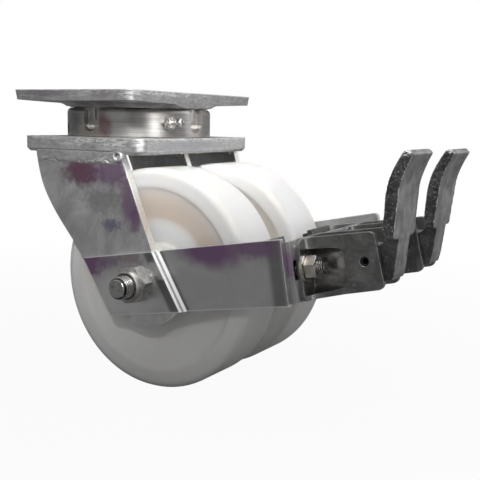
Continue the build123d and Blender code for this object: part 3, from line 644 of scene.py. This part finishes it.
@dataclass(frozen=True)
class LiningBlock(Finish):
    """Moulded friction lining: dark brown-grey with coarse grains."""

    dark: Triple = (0.035, 0.030, 0.027)
    light: Triple = (0.16, 0.14, 0.12)

    def lay_up(self, r: Recipe) -> None:
        """Lays the finish up in a recipe."""
        grains = r.grain(1.8, 5.0, 0.75)
        r.relief(grains, 0.3, 0.8)
        r.colour = r.blend(r.span(grains, 0.4, 0.66), self.dark, self.light)
        r.done(r.line(grains, 0.2, 0.7))


# ---- mesh tools


def node_copy(node: str) -> BMesh:
    """A CAD node's mesh as a bmesh with its doubles merged."""
    mesh = bmesh.new()
    mesh.from_mesh(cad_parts[node].data)
    bmesh.ops.remove_doubles(mesh, verts=mesh.verts, dist=MERGE)
    return mesh


def linked(name: str, mesh: BMesh) -> Piece:
    """An object in the scene from a bmesh, which is freed."""
    data = bpy.data.meshes.new(name)
    mesh.to_mesh(data)
    mesh.free()
    piece = bpy.data.objects.new(name, data)
    bpy.context.scene.collection.objects.link(piece)
    return piece


def remeshed(mesh: BMesh, voxel: float, ease: float = 0.0) -> BMesh:
    """A bmesh rebuilt on an even grid, for cast and welded surfaces.

    Args:
        mesh: the shape, which is freed.
        voxel: the grid's step.
        ease: how far the new vertices move towards their neighbours' mean.

    Returns:
        The rebuilt bmesh.
    """
    piece = linked("grid", mesh)
    modifier = piece.modifiers.new("grid", "REMESH")
    modifier.mode = "VOXEL"
    modifier.voxel_size = voxel * MM
    bpy.context.view_layer.update()
    out = bmesh.new()
    out.from_mesh(piece.evaluated_get(bpy.context.evaluated_depsgraph_get()).data)
    data = piece.data
    bpy.data.objects.remove(piece)
    bpy.data.meshes.remove(data)
    if ease:
        bmesh.ops.smooth_vert(
            out, verts=out.verts, factor=ease, use_axis_x=True, use_axis_y=True, use_axis_z=True
        )
    return out


def roughen(mesh: BMesh, move: Callable[[Vector, Vector], float]) -> None:
    """Moves each vertex along its normal.

    Args:
        mesh: the bmesh.
        move: distance for a place in millimetres and a normal.
    """
    mesh.normal_update()
    shifts = [vert.normal * (move(vert.co / MM, vert.normal) * MM) for vert in mesh.verts]
    for vert, shift in zip(mesh.verts, shifts):
        vert.co += shift


def lumps(place: Vector, size: float, seed: float = 0.0, octaves: int = 4) -> float:
    """Fractal noise from about -1 to 1 at a place in millimetres."""
    return noise.fractal(place / size + Vector((seed, seed * 1.7, -seed)), 0.9, 2.0, octaves)


def turned(
    profile: Profile, steps: int, aim: Matrix, closed: bool = False, lift: float = 0.0
) -> BMesh:
    """A body turned about its local Z axis.

    Args:
        profile: points as (radius, height).
        steps: facets round.
        aim: matrix that places the body.
        closed: whether the profile is a closed loop.
        lift: height that is added to the profile's.

    Returns:
        The bmesh.
    """
    mesh = bmesh.new()
    verts = [mesh.verts.new((r * MM, 0, (lift + h) * MM)) for r, h in profile]
    edges = [mesh.edges.new(pair) for pair in zip(verts, verts[1:])]
    if closed:
        edges.append(mesh.edges.new((verts[-1], verts[0])))
    bmesh.ops.spin(
        mesh, geom=verts + edges, cent=(0, 0, 0), axis=(0, 0, 1), angle=2 * math.pi,
        steps=steps, use_merge=True,
    )
    bmesh.ops.remove_doubles(mesh, verts=mesh.verts, dist=MERGE)
    bmesh.ops.transform(mesh, matrix=aim, verts=mesh.verts)
    return mesh


def join(into: BMesh, other: BMesh) -> None:
    """Adds a bmesh to another and frees it."""
    data = bpy.data.meshes.new("join")
    other.to_mesh(data)
    other.free()
    into.from_mesh(data)
    bpy.data.meshes.remove(data)


def aim_matrix(origin: Sequence[float], axis: Sequence[float], across: Sequence[float]) -> Matrix:
    """A placing matrix whose local Z lies along axis and local X near across.

    Args:
        origin: the local origin.
        axis: direction of local Z.
        across: direction that local X leans to.

    Returns:
        The matrix, in metres.
    """
    z = Vector(axis).normalized()
    y = z.cross(Vector(across)).normalized()
    turn = Matrix((y.cross(z), y, z)).transposed().to_4x4()
    return Matrix.Translation(Vector(origin) * MM) @ turn


@dataclass(frozen=True)
class Hardware:
    """One screw thread and its hexagons."""

    thread_d: float
    pitch: float
    across_flats: float
    thread_depth: float = 0.55  # as a share of the pitch, as are the next two
    foot: float = 0.46  # half the ridge's width at its foot
    land: float = 0.07  # and at its crest
    sink: float = 0.1  # how far the ridge's foot lies in the core
    play: float = 0.06  # how far its crest lies inside the thread's size
    core_facets: int = 40
    ridge_facets: int = 36
    corner_from: float = 0.97  # where the turned corners start, as a share of the flats
    corner_slope: float = math.tan(math.radians(30))

    def hexagon(
        self, low: float, high: float, aim: Matrix, turn: float = 0.0, hole: float = 0.0,
        both: bool = True,
    ) -> BMesh:
        """A hexagon with turned corners.

        Args:
            low: where it starts along local Z.
            high: where it ends.
            aim: placing matrix.
            turn: angle about its axis, in degrees.
            hole: half-width of the hexagon marked out on its ends, 0 for none.
            both: whether both ends have turned corners.

        Returns:
            The bmesh.
        """
        mesh = bmesh.new()
        flat = self.across_flats / 2
        round_r = self.across_flats / math.sqrt(3) * MM
        bmesh.ops.create_circle(mesh, cap_ends=True, segments=6, radius=round_r)
        spun = Matrix.Rotation(math.radians(turn), 3, "Z")
        bmesh.ops.rotate(mesh, verts=mesh.verts, matrix=spun)
        if hole:
            bmesh.ops.inset_individual(mesh, faces=mesh.faces[:], thickness=(flat - hole) * MM)
        top = bmesh.ops.extrude_face_region(mesh, geom=mesh.faces[:])
        raised = [v for v in top["geom"] if isinstance(v, bmesh.types.BMVert)]
        bmesh.ops.translate(mesh, verts=raised, vec=(0, 0, (high - low) * MM))
        bmesh.ops.translate(mesh, verts=mesh.verts, vec=(0, 0, low * MM))
        bmesh.ops.recalc_face_normals(mesh, faces=mesh.faces)
        bmesh.ops.subdivide_edges(mesh, edges=mesh.edges, cuts=3, use_grid_fill=True)
        for vert in mesh.verts:
            reach = math.hypot(vert.co.x, vert.co.y) / MM
            drop = max(0.0, reach - flat * self.corner_from) * self.corner_slope * MM
            if vert.co.z > (high - 0.01) * MM:
                vert.co.z -= drop
            elif both and vert.co.z < (low + 0.01) * MM:
                vert.co.z += drop
        bmesh.ops.transform(mesh, matrix=aim, verts=mesh.verts)
        return mesh

    def screw(self, low: float, high: float, aim: Matrix, tip: float) -> BMesh:
        """A threaded rod with a real helix and a chamfered tip.

        Args:
            low: where the thread starts along local Z.
            high: the rod's end.
            aim: placing matrix.
            tip: chamfer at the end.

        Returns:
            The bmesh.
        """
        crest = self.thread_d / 2
        root = crest - self.thread_depth * self.pitch
        shoulder = high - tip * 0.4
        core = ((0, low), (root, low), (root, shoulder), (root - tip * 0.5, high), (0, high))
        mesh = turned(core, self.core_facets, Matrix.Identity(4))
        helix = bmesh.new()
        start = low - self.pitch
        half, top, foot_r, top_r = (
            self.pitch * self.foot, self.pitch * self.land, root - self.sink, crest - self.play
        )
        ridge = ((foot_r, -half), (top_r, -top), (top_r, top), (foot_r, half))
        verts = [helix.verts.new((r * MM, 0, (start + h) * MM)) for r, h in ridge]
        edges = [helix.edges.new(pair) for pair in zip(verts, verts[1:])]
        turns = (high - tip * 0.5 - start) / self.pitch
        steps = int(turns * self.ridge_facets)
        climb = turns * self.pitch * MM / steps
        bmesh.ops.spin(
            helix, geom=verts + edges, cent=(0, 0, 0), axis=(0, 0, 1), dvec=(0, 0, climb),
            angle=turns * 2 * math.pi, steps=steps, use_merge=False,
        )
        for vert in helix.verts:
            vert.co.z = min(max(vert.co.z, low * MM), high * MM)
            up_tip = (vert.co.z / MM - (high - tip)) / tip
            reach = math.hypot(vert.co.x, vert.co.y) / MM
            limit = crest - up_tip * tip * 0.8
            if up_tip > 0 and reach > limit:
                vert.co.x *= limit / reach
                vert.co.y *= limit / reach
        join(mesh, helix)
        bmesh.ops.transform(mesh, matrix=aim, verts=mesh.verts)
        return mesh


def mark_grooves(piece: Piece, aims: Sequence[Matrix], root: float, crest: float) -> None:
    """Writes how deep each vertex lies in a thread, 1 at the root and 0 at the crest.

    Args:
        piece: the threaded piece.
        aims: placing matrices of its screws.
        root: the thread's root radius.
        crest: its crest radius.
    """
    back = [aim.inverted() for aim in aims]
    depth = piece.data.attributes.new("groove", "FLOAT", "POINT")
    for vert, cell in zip(piece.data.vertices, depth.data):
        reach = min(math.hypot(*(turn @ vert.co).xy) for turn in back) / MM
        share = min(1.0, max(0.0, (crest - reach) / (crest - root)))
        cell.value = share if reach > root - 0.4 else 0.0


# ---- sub-assemblies


@dataclass
class Assembly:
    """A part of the castor, with the materials that all parts share, built once each."""

    made: dict[str, Material]

    def paint(self, finish: Finish) -> Material:
        """The material of a finish."""
        if finish.name not in self.made:
            self.made[finish.name] = finish.build()
        return self.made[finish.name]

    def dress(self, node: str, finish: Finish) -> None:
        """Gives a CAD node's object a finish on its material slots.

        Args:
            node: the node's name.
            finish: the finish.
        """
        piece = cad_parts[node]
        material = self.paint(finish)
        if not piece.material_slots:
            piece.data.materials.append(material)
        for place in piece.material_slots:
            place.link = "OBJECT"
            place.material = material
        LOG.info("dressed %s in %s", node, finish.name)

    def piece(
        self, name: str, mesh: BMesh, finish: Finish, slot: Slot, smooth: float,
        body: str = "fork",
    ) -> Piece:
        """A finished piece from a bmesh, riding on a body.

        Args:
            name: the piece's name.
            mesh: its bmesh, which is freed.
            finish: its finish.
            slot: the record's material slot, not used.
            smooth: angle below which edges are smooth, in degrees.
            body: the CAD body it rides on.

        Returns:
            The piece's object.
        """
        bmesh.ops.recalc_face_normals(mesh, faces=mesh.faces)
        for face in mesh.faces:
            face.smooth = True
        for edge in mesh.edges:
            edge.smooth = not edge.is_manifold or edge.calc_face_angle(0.0) < math.radians(smooth)
        piece = linked(name, mesh)
        piece.data.materials.append(self.paint(finish))
        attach(piece, body)
        LOG.info("made %s, %d faces", name, len(piece.data.polygons))
        return piece


@dataclass
class SwivelHead(Assembly):
    """Top plate, race ring, balls, plug and grease nipple."""

    nipple_voxel: float = 0.5
    nipple_dents: float = 0.55

    def build(self) -> None:
        """Dresses the head's nodes."""
        self.dress("top_plate", ForgedPlate(
            "forged_plate",
            stains=(
                Stain((-30, -103, -3), (30, 8, 3), OIL, 0.45, 0.5, 8),
                Stain((35, -101, -4), (12, 8, 4), OIL, 0.35, 0.5, 6),
            ),
            scuffs_and_highlights=(
                # painted highlights on the near corner and along the top edges
                Stain((66, -98, -4), (12, 12, 7), grey(0.97), 0.9, 0.5, 6),
                Stain((70, -60, -2), (6, 60, 2.5), grey(0.97), 0.7, 0.6, 8),
                Stain((10, -102, -2), (60, 8, 2), grey(0.97), 0.5, 0.6, 8),
            ),
        ))
        self.dress("swivel_ring", TurnedSteel("turned_race", blush_and_painted_light=(
            Stain((13, -70, -30), (8, 12, 15), (0.20, 0.075, 0.085), 0.7, 0.25, 6),
            Stain((-6, -70, -39), (18, 12, 4), (0.36, 0.30, 0.20), 0.4, 0.3, 8),
            # painted shade on the ring's left side
            Stain((-34, -60, -28), (26, 18, 18), grey(0.14), 0.75, 0.2, 8),
            # painted highlight high on the right
            Stain((24, -66, -20), (14, 10, 8), grey(0.85), 0.5, 0.2, 6),
            # painted shade below it
            Stain((24, -66, -36), (12, 14, 6), grey(0.24), 0.5, 0.3, 8),
        )))
        self.dress("swivel_balls", Plated("ball_steel", 0.6, 0.0, 0.14))
        self.dress("fill_plug", DarkPressing("plug_steel", 0.10))
        self.nipple()

    def nipple(self) -> None:
        """The grease nipple with the weld-like lumps round its root."""
        mesh = remeshed(node_copy("grease_nipple"), self.nipple_voxel)
        roughen(mesh, lambda place, normal: -self.nipple_dents * abs(lumps(place, 3.2, 2.0)))
        zinc = Plated("nipple_zinc", 0.5, 0.1, 0.26)
        piece = self.piece("grease_nipple_rough", mesh, zinc, Slot.BRIGHT_ZINC, 70.0)
        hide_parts("grease_nipple")


@dataclass
class Fork(Assembly):
    """Fork plate, legs and welds."""

    weld_voxel: float = 0.9
    weld_foot: float = -60.0
    crater_place: Triple = (44.5, -89.4, -57.5)
    crater: Profile = ((1.6, -2.0), (1.9, 1.2), (3.4, 3.0), (5.0, 2.4), (6.2, 0.0), (5.6, -2.0))

    def build(self) -> None:
        """Dresses the fork and lays the weld beads."""
        self.dress("fork_plate", ForgedPlate(
            "fork_forging", 0.58, 0.99, -60.0, -45.0, dirt_share=0.15,
            scuffs_and_highlights=(
                Stain((30, -91, -46), (44, 10, 6), grey(0.99), 0.95, 0.5, 7),
                Stain((12, -91, -50), (16, 10, 4), grey(0.20), 0.7, 0.5, 6),
                # bright strips along the top edges are painted highlights; the patches are scuffs
                Stain((-40, -91, -43), (30, 10, 2), grey(0.97), 0.6, 0.5, 6),
                Stain((72, 0, -43), (6, 90, 2), grey(0.97), 0.7, 0.5, 6),
            ),
            stains=(Stain((72, -20, -49), (6, 66, 6), (0.44, 0.45, 0.48), 0.7, 0.2, 12),),
        ))
        near = ZincPlate(
            "near_leg_zinc", 0.72, 0.20, 20.0, cut_edges=True, stretch=(1, 1, 0.6), turn=-35,
            scratch=0.5, pits=0.06,
            stains=(
                Stain((2, -89, -73), (25, 9, 14), HEAT, 0.95, 0.3, 6),
                Stain((36, -89, -72), (24, 9, 15), HEAT_VIOLET, 0.8, 0.35, 6),
                Stain((56, -89, -97), (10, 9, 24), HEAT_VIOLET, 0.75, 0.3, 10),
                Stain((63, -89, -113), (6, 9, 14), HEAT_VIOLET, 0.8, 0.3, 6),
                Stain((37, -89, -119), (12, 9, 6), HEAT_BLUE, 0.7, 0.5, 4),
                Stain((26, -89, -97), (24, 9, 12), grey(0.32), 0.6, 0.5, 5),
                Stain((24, -89, -86), (12, 9, 4), grey(0.75), 0.5, 0.6, 3),
                Stain((38, -89, -106), (12, 9, 4), grey(0.70), 0.4, 0.6, 3),
            ),
        )
        self.dress("near_leg", near)
        for node, cloud in (("far_leg", 26.0), ("centre_leg", 22.0)):
            plain = ZincPlate(f"{node}_zinc", 0.50, 0.25, cloud, cut_edges=True)
            self.dress(node, plain)
        self.weld_beads()

    def swell(self, place: Vector, normal: Vector) -> float:
        """Ripples across a bead and uneven lumps, larger along its foot.

        Args:
            place: a place on a bead.
            normal: its normal, not used.

        Returns:
            How far the surface moves outwards.
        """
        ripple = math.sin(place.x * 1.9 + 0.8 * lumps(place, 9.0, 3.0)) * 0.12
        foot = max(0.0, min(1.0, (self.weld_foot - place.z) / 4.0))
        uneven = 0.4 * lumps(place, 7.0, 1.0) - 0.15
        return ripple + uneven + foot * 1.7 * lumps(place, 13.0, 7.0)

    def weld_beads(self) -> None:
        """The beads along the legs' tops, lumpy, with a crater at the near one's end."""
        mesh = node_copy("leg_welds")
        aim = aim_matrix(self.crater_place, (0, -1, 0), (1, 0, 0))
        join(mesh, turned(self.crater, 20, aim, True))
        mesh = remeshed(mesh, self.weld_voxel, 0.5)
        roughen(mesh, self.swell)
        finish = ForgedPlate(
            "weld_bead", 0.60, 0.9, -57.0, -66.0, dirt_share=0.1, edge_share=0.15,
            scuffs_and_highlights=(Stain((32, -91, -61), (12, 6, 4), grey(0.98), 0.9, 0.5, 4),),
            # painted shade in the crater's pit
            stains=(Stain((44.5, -92, -57.5), (2.6, 3, 2.6), grey(0.06), 0.9, 0.2, 3),),
        )
        beads = self.piece("weld_beads", mesh, finish, Slot.ZINC_STEEL, 60.0)
        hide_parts("leg_welds")


@dataclass
class Wheels(Assembly):
    """The two nylon wheels and their bearings."""

    axle: Triple = AXLE

    def build(self) -> None:
        """Dresses the wheels and their bearings."""
        races = Plated("ring_steel", 0.5, 0.0, 0.2)
        for side in Side:
            self.dress(f"{side.word}_wheel", Nylon("white_nylon", self.axle))
            self.dress(f"{side.word}_bearing_rings", races)
            self.dress(f"{side.word}_bearing_balls", Plated("ball_steel", 0.6, 0.0, 0.14))
        self.dress("inner_rings", races)
        self.dress("axle_sleeves", ZincPlate("sleeve_zinc", 0.25))


@dataclass
class Axle(Assembly):
    """Long axle bolt with its washers and self-locking nut."""

    middle: Triple = AXLE
    shank_r: float = 10.0
    core_r: float = 8.5
    head_h: float = 12.5
    washer_face: float = 97.0
    thread_in: float = 6.0
    nut_h: float = 18.0
    collar_h: float = 5.0
    nut_turn: float = 42.0
    proud: float = 12.0
    tip: float = 2.4
    groove: tuple[float, float] = (8.6, 9.95)
    size: Hardware = Hardware(20.0, 2.5, 30.0)
    collar: Profile = (
        (10.2, -0.5), (13.9, -0.5), (13.8, 2.6), (13.2, 4.2), (12.2, 5.0), (11.4, 4.9),
        (11.2, 4.3), (10.2, 4.3),
    )
    insert: Profile = ((9.7, 2.0), (11.3, 2.0), (11.3, 4.5), (10.9, 4.8), (9.7, 4.6))
    facets: int = 48

    def aim(self) -> Matrix:
        """Local Z runs to the near side, from the middle of the axle."""
        return aim_matrix(self.middle, (0, -1, 0), (1, 0, 0))

    def build(self) -> None:
        """Dresses the washers and makes the bolt and the nut."""
        self.dress("axle_washers", Plated("washer_zinc", 0.5, 0.0, 0.3))
        self.bolt()
        self.nut()

    def bolt(self) -> None:
        """The bolt's plain shank, with its thread at the near end and its head at the far one."""
        aim, face = self.aim(), self.washer_face
        end = face + self.nut_h + self.proud
        thread_from = face - self.thread_in
        neck = thread_from + 1
        shank = turned(
            ((0, -face), (self.shank_r, -face), (self.shank_r, thread_from),
             (self.core_r, neck), (0, neck)),
            self.facets, aim,
        )
        join(shank, self.size.screw(thread_from, end, aim, self.tip))
        join(shank, self.size.hexagon(-face - self.head_h, -face, aim, both=False))
        zinc = Plated("axle_zinc", 0.5, 0.0, 0.28)
        bolt = self.piece("axle_bolt_threaded", shank, zinc, Slot.BRIGHT_ZINC, 35.0)
        mark_grooves(bolt, [aim], *self.groove)
        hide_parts("axle_bolt")

    def nut(self) -> None:
        """Hexagon, rounded collar and the dark locking ring inside it."""
        aim, low = self.aim(), self.washer_face
        top = low + self.nut_h - self.collar_h
        mesh = self.size.hexagon(low, top, aim, self.nut_turn, self.shank_r)
        join(mesh, turned(self.collar, self.facets, aim, True, top))
        zinc = Plated("nut_zinc", 0.46, 0.05, 0.38)
        nut = self.piece("axle_lock_nut", mesh, zinc, Slot.BRIGHT_ZINC, 32.0)
        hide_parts("axle_nut")
        ring = turned(self.insert, self.facets, aim, True, top)
        self.piece("axle_nut_insert", ring, LiningBlock("locking_ring"), Slot.LINING, 40.0)


@dataclass
class BrakeBracket(Assembly):
    """The sheet frame that carries the brakes."""

    def build(self) -> None:
        """Dresses the arms and the channel."""
        # painted light on the arm: painted shade beside the fold, painted shadows at the arm's end
        # and beside the fold's strip
        shade = (
            Band(PAST_FOLD, 18.5, 23.4, 4.0, grey(0.12), 0.75),
            Band(UP_ARM, 131.0, 137.0, 6.0, grey(0.16), 0.7),
            Band(PAST_FOLD, 30.0, 31.0, 3.0, grey(0.14), 0.6),
            # painted highlights along the arm's top and bottom edges
            Band(ACROSS_ARM, 25.7, 27.0, 0.3, grey(0.98), 0.8),
            Band(ACROSS_ARM, -29.0, -27.2, 0.3, grey(0.98), 0.9),
        )
        near = ZincPlate(
            "near_arm_zinc", 0.62, 0.12, 40.0, 0.33, stretch=(0.6, 1, 1), turn=-9.8, pits=0.05,
            scratch=0.12, edge_width=1.0, edge_tone=1.0, fold=True, bands=shade,
            stains=(
                Stain((150, -89, -158), (46, 7, 18), grey(0.62), 0.55, 0.12, 16),
                # painted sheen: lighter patch low on the outer plate
                Stain((50, -94, -180), (40, 7, 22), grey(0.92), 0.7, 0.12, 16),
                Stain((12, -94, -155), (20, 7, 15), HEAT_VIOLET, 0.95, 0.3, 6),
                Stain((36, -94, -150), (14, 7, 8), HEAT_VIOLET, 0.6, 0.4, 5),
                Stain((60, -94, -146), (18, 7, 6), HEAT, 0.45, 0.5, 6),
                Stain((140, -89, -133), (34, 7, 15), HEAT_VIOLET, 0.95, 0.14, 12),
                Stain((182, -89, -124), (26, 7, 13), HEAT_VIOLET, 0.85, 0.2, 10),
            ),
        )
        self.dress("near_arm", near)
        far = ZincPlate("far_arm_zinc", 0.66, 0.16, 40.0, 0.4, pits=0.06, fold=True)
        self.dress("far_arm", far)
        self.dress("cross_channel", ZincPlate(
            "channel_zinc", 0.44, 0.2, 18.0,
            stains=(Stain((212, -86, -136), (9, 8, 14), HEAT_VIOLET, 0.7, 0.3, 8),),
        ))


@dataclass
class Brakes(Assembly):
    """Housings, their bolts, pins, pedals, shoes and linings."""

    axle: Triple = AXLE
    up: Triple = UP_ARM
    rows: tuple[float, ...] = (-25.25, -70.75, 25.25, 70.75)
    head_face: float = 140.5
    head_h: float = 7.5
    nut_face: float = 153.5
    nut_h: float = 10.0
    nut_turn: float = 10.0
    proud: float = 6.0
    tip: float = 1.2
    groove: tuple[float, float] = (5.0, 5.95)
    size: Hardware = Hardware(12.0, 1.75, 18.0)
    pedal_voxel: float = 0.9
    pad_low: float = -110.0

    def aim(self, row: float) -> Matrix:
        """Local Z runs back along the bracket from the axle's middle, at a bolt's row."""
        return aim_matrix((self.axle[0], row, self.axle[2]), self.up, (0, 1, 0))

    def build(self) -> None:
        """Makes the bolts, nuts and pedals and dresses the rest."""
        for side in Side:
            self.dress(f"{side.word}_housing", DarkPressing("smoked_pressing"))
            self.dress(f"{side.word}_shoe", DarkPressing("shoe_steel", 0.12))
            self.dress(f"{side.word}_lining", LiningBlock("friction_lining"))
            self.pedal(side)
        self.dress("pivot_pins", DarkPressing("pin_steel", 0.05, 0.2))
        self.dress("housing_washers", Plated("yellow_washer", 0.55, 0.5, 0.28))
        self.bolts()

    def bolts(self) -> None:
        """The four threaded bolts and their nuts."""
        bolts, nuts = bmesh.new(), bmesh.new()
        aims = [self.aim(row) for row in self.rows]
        head, face, top = self.head_face, self.nut_face, self.nut_face + self.nut_h
        for aim in aims:
            join(bolts, self.size.hexagon(head - self.head_h, head, aim, both=False))
            join(bolts, self.size.screw(head, top + self.proud, aim, self.tip))
            join(nuts, self.size.hexagon(face, top, aim, self.nut_turn, self.size.thread_d / 2))
        zinc = Plated("stud_zinc", 0.55, 0.05, 0.26)
        studs = self.piece("housing_bolts_threaded", bolts, zinc, Slot.BRIGHT_ZINC, 35.0)
        mark_grooves(studs, aims, *self.groove)
        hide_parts("housing_bolts")
        yellow = Plated("nut_yellow", 0.66, 0.35, 0.24)
        nuts = self.piece("housing_nuts_turned", nuts, yellow, Slot.BRIGHT_ZINC, 32.0)
        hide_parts("housing_nuts")

    def bite(self, place: Vector, normal: Vector) -> float:
        """Deep crumbs on the pads' flanks, shallow waves elsewhere, and hardly any lower down.

        Args:
            place: a place on a pedal.
            normal: its normal.

        Returns:
            How far the surface moves outwards.
        """
        if place.z < self.pad_low:
            return -0.04
        flank = max(0.0, abs(normal.y) - 0.25) / 0.75
        crumbs = abs(lumps(place, 3.4, 5.0)) * (0.12 + 1.5 * flank)
        return -crumbs - 0.2 * abs(lumps(place, 15.0, 2.0, 2))

    def pedal(self, side: Side) -> None:
        """A cast pedal with coarse flanks and worn edges, in place of the plain one."""
        mesh = remeshed(node_copy(f"{side.word}_pedal"), self.pedal_voxel, 0.5)
        roughen(mesh, self.bite)
        body = f"{side.word}_pedal_body"
        iron = RoughCasting("rough_casting")
        piece = self.piece(f"{side.word}_pedal_cast", mesh, iron, Slot.CAST_STEEL, 75.0, body)
        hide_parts(f"{side.word}_pedal")


# ---- studio


@dataclass
class Studio:
    """Camera, lamps, pale floor and world, in metres and radians."""

    eye: Triple = (0.50071, -0.65854, -0.02419)
    azimuth: float = -1.0446193
    elevation: float = 0.1552364
    roll: float = 0.0190229
    sensor_mm: float = 36.0
    focal_px: float = 816.386
    frame_px: float = 480.0
    rise_px: float = 8.0
    clip: tuple[float, float] = (0.01, 50.0)
    ground: float = -0.267
    floor_gap: float = 0.0002
    floor_r: float = 6.0
    floor_tone: float = 0.26
    fade: tuple[float, float] = (0.35, 0.9)
    sky_low: float = 0.24
    sky_high: float = 0.50
    middle: Triple = (0.09, 0.0, -0.14)

    def build(self) -> None:
        """Sets the stage."""
        self.camera()
        self.floor()
        self.world()
        self.lamps()

    def camera(self) -> None:
        """The camera at the object's three-quarter view."""
        level = math.cos(self.elevation)
        back = Vector((
            math.cos(self.azimuth) * level, math.sin(self.azimuth) * level,
            math.sin(self.elevation),
        ))
        right = (-back).cross(Vector((0, 0, 1))).normalized()
        up = right.cross(-back)
        c, s = math.cos(self.roll), math.sin(self.roll)
        turn = Matrix((right * c + up * s, up * c - right * s, back)).transposed().to_4x4()
        data = bpy.data.cameras.new("view")
        data.sensor_width = self.sensor_mm
        data.lens = self.focal_px / self.frame_px * self.sensor_mm
        data.shift_y = self.rise_px / self.frame_px
        data.clip_start, data.clip_end = self.clip
        camera = bpy.data.objects.new("view", data)
        camera.matrix_world = Matrix.Translation(self.eye) @ turn
        bpy.context.scene.collection.objects.link(camera)
        bpy.context.scene.camera = camera

    def seen(self, nodes: Nodes) -> Socket:
        """1 for rays straight from the camera or through something clear."""
        straight = nodes.add("LightPath", out="Is Camera Ray")
        return nodes.sum("MAXIMUM", straight, nodes.add("LightPath", out="Is Transmission Ray"))

    def floor(self) -> None:
        """A wide pale floor that fades to the background's white."""
        mesh = bmesh.new()
        bmesh.ops.create_circle(mesh, cap_ends=True, segments=96, radius=self.floor_r)
        drop = (0, 0, self.ground - self.floor_gap)
        bmesh.ops.translate(mesh, verts=mesh.verts, vec=drop)
        floor = linked("floor", mesh)
        r = Recipe("pale_floor")
        near, far = self.fade
        fade = r.add("MapRange", {
            "Value": r.vector("LENGTH", r.place), "From Min": near, "From Max": far,
            "To Min": 0.95, "To Max": 1.0,
        })
        share = r.times(self.seen(r), fade)
        mix = r.add("MixShader", {"Fac": share, 1: r.shader.outputs[0], 2: r.add("Emission")})
        r.feed(r.tree.nodes["Material Output"].inputs["Surface"], mix)
        r.colour = grey(self.floor_tone)
        r.done(0.9, Specular_IOR_Level=0.0)
        floor.data.materials.append(r.material)

    def world(self) -> None:
        """White for what the camera sees, a soft level, brighter overhead, for the rest."""
        world = bpy.data.worlds.new("studio")
        world.use_nodes = True
        bpy.context.scene.world = world
        sky = Nodes(world.node_tree)
        soft = sky.tree.nodes["Background"]
        level = sky.add("MapRange", {
            "Value": sky.part(sky.add("TexCoord", out="Generated"), "Z"),
            "From Min": -0.2, "From Max": 0.9, "To Min": self.sky_low, "To Max": self.sky_high,
        })
        sky.feed(soft.inputs["Color"], grey(1.0))
        sky.feed(soft.inputs["Strength"], level)
        white = sky.add("Background", {"Color": grey(1.0), "Strength": 1.0})
        mix = sky.add("MixShader", {"Fac": self.seen(sky), 1: soft.outputs[0], 2: white})
        sky.feed(sky.tree.nodes["World Output"].inputs["Surface"], mix)
        scene = bpy.context.scene
        scene.view_settings.view_transform = "Standard"

    def lamp(
        self, name: str, place: Triple, aim: Triple, size: float, watts: float,
        spread: float = 180.0,
    ) -> None:
        """One soft square lamp.

        Args:
            name: its name.
            place: where it hangs.
            aim: what it points at.
            size: its side.
            watts: its power.
            spread: the cone of its light, in degrees.
        """
        data = bpy.data.lights.new(name, "AREA")
        data.shape = "SQUARE"
        data.size = size
        data.energy = watts
        data.spread = math.radians(spread)
        lamp = bpy.data.objects.new(name, data)
        turn = (Vector(aim) - Vector(place)).to_track_quat("-Z", "Y").to_matrix().to_4x4()
        lamp.matrix_world = Matrix.Translation(place) @ turn
        bpy.context.scene.collection.objects.link(lamp)

    def lamps(self) -> None:
        """A broad lamp above, two at the right, and a narrow one in front for the upper half."""
        self.lamp("above", (0.22, 0.05, 1.0), self.middle, 0.8, 6.6)
        self.lamp("right", (1.00, 0.85, 0.25), self.middle, 0.8, 2.5)
        self.lamp("glint", (1.20, -0.62, 0.05), (0.03, 0.0, 0.03), 0.4, 0.05, 16.0)
        self.lamp("front", (0.55, -0.95, 0.55), (0.08, -0.06, 0.055), 0.20, 0.44, 20.0)


def main() -> None:
    """Builds the castor's looks in order and the studio round it."""
    logging.basicConfig(level=logging.INFO, format="%(name)s: %(message)s")
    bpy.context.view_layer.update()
    made: dict[str, Material] = {}
    for assembly in (
        SwivelHead(made), Fork(made), Wheels(made), Axle(made), BrakeBracket(made),
        Brakes(made), Studio(),
    ):
        LOG.info("building %s", type(assembly).__name__)
        assembly.build()


if __name__ == "__main__":
    main()
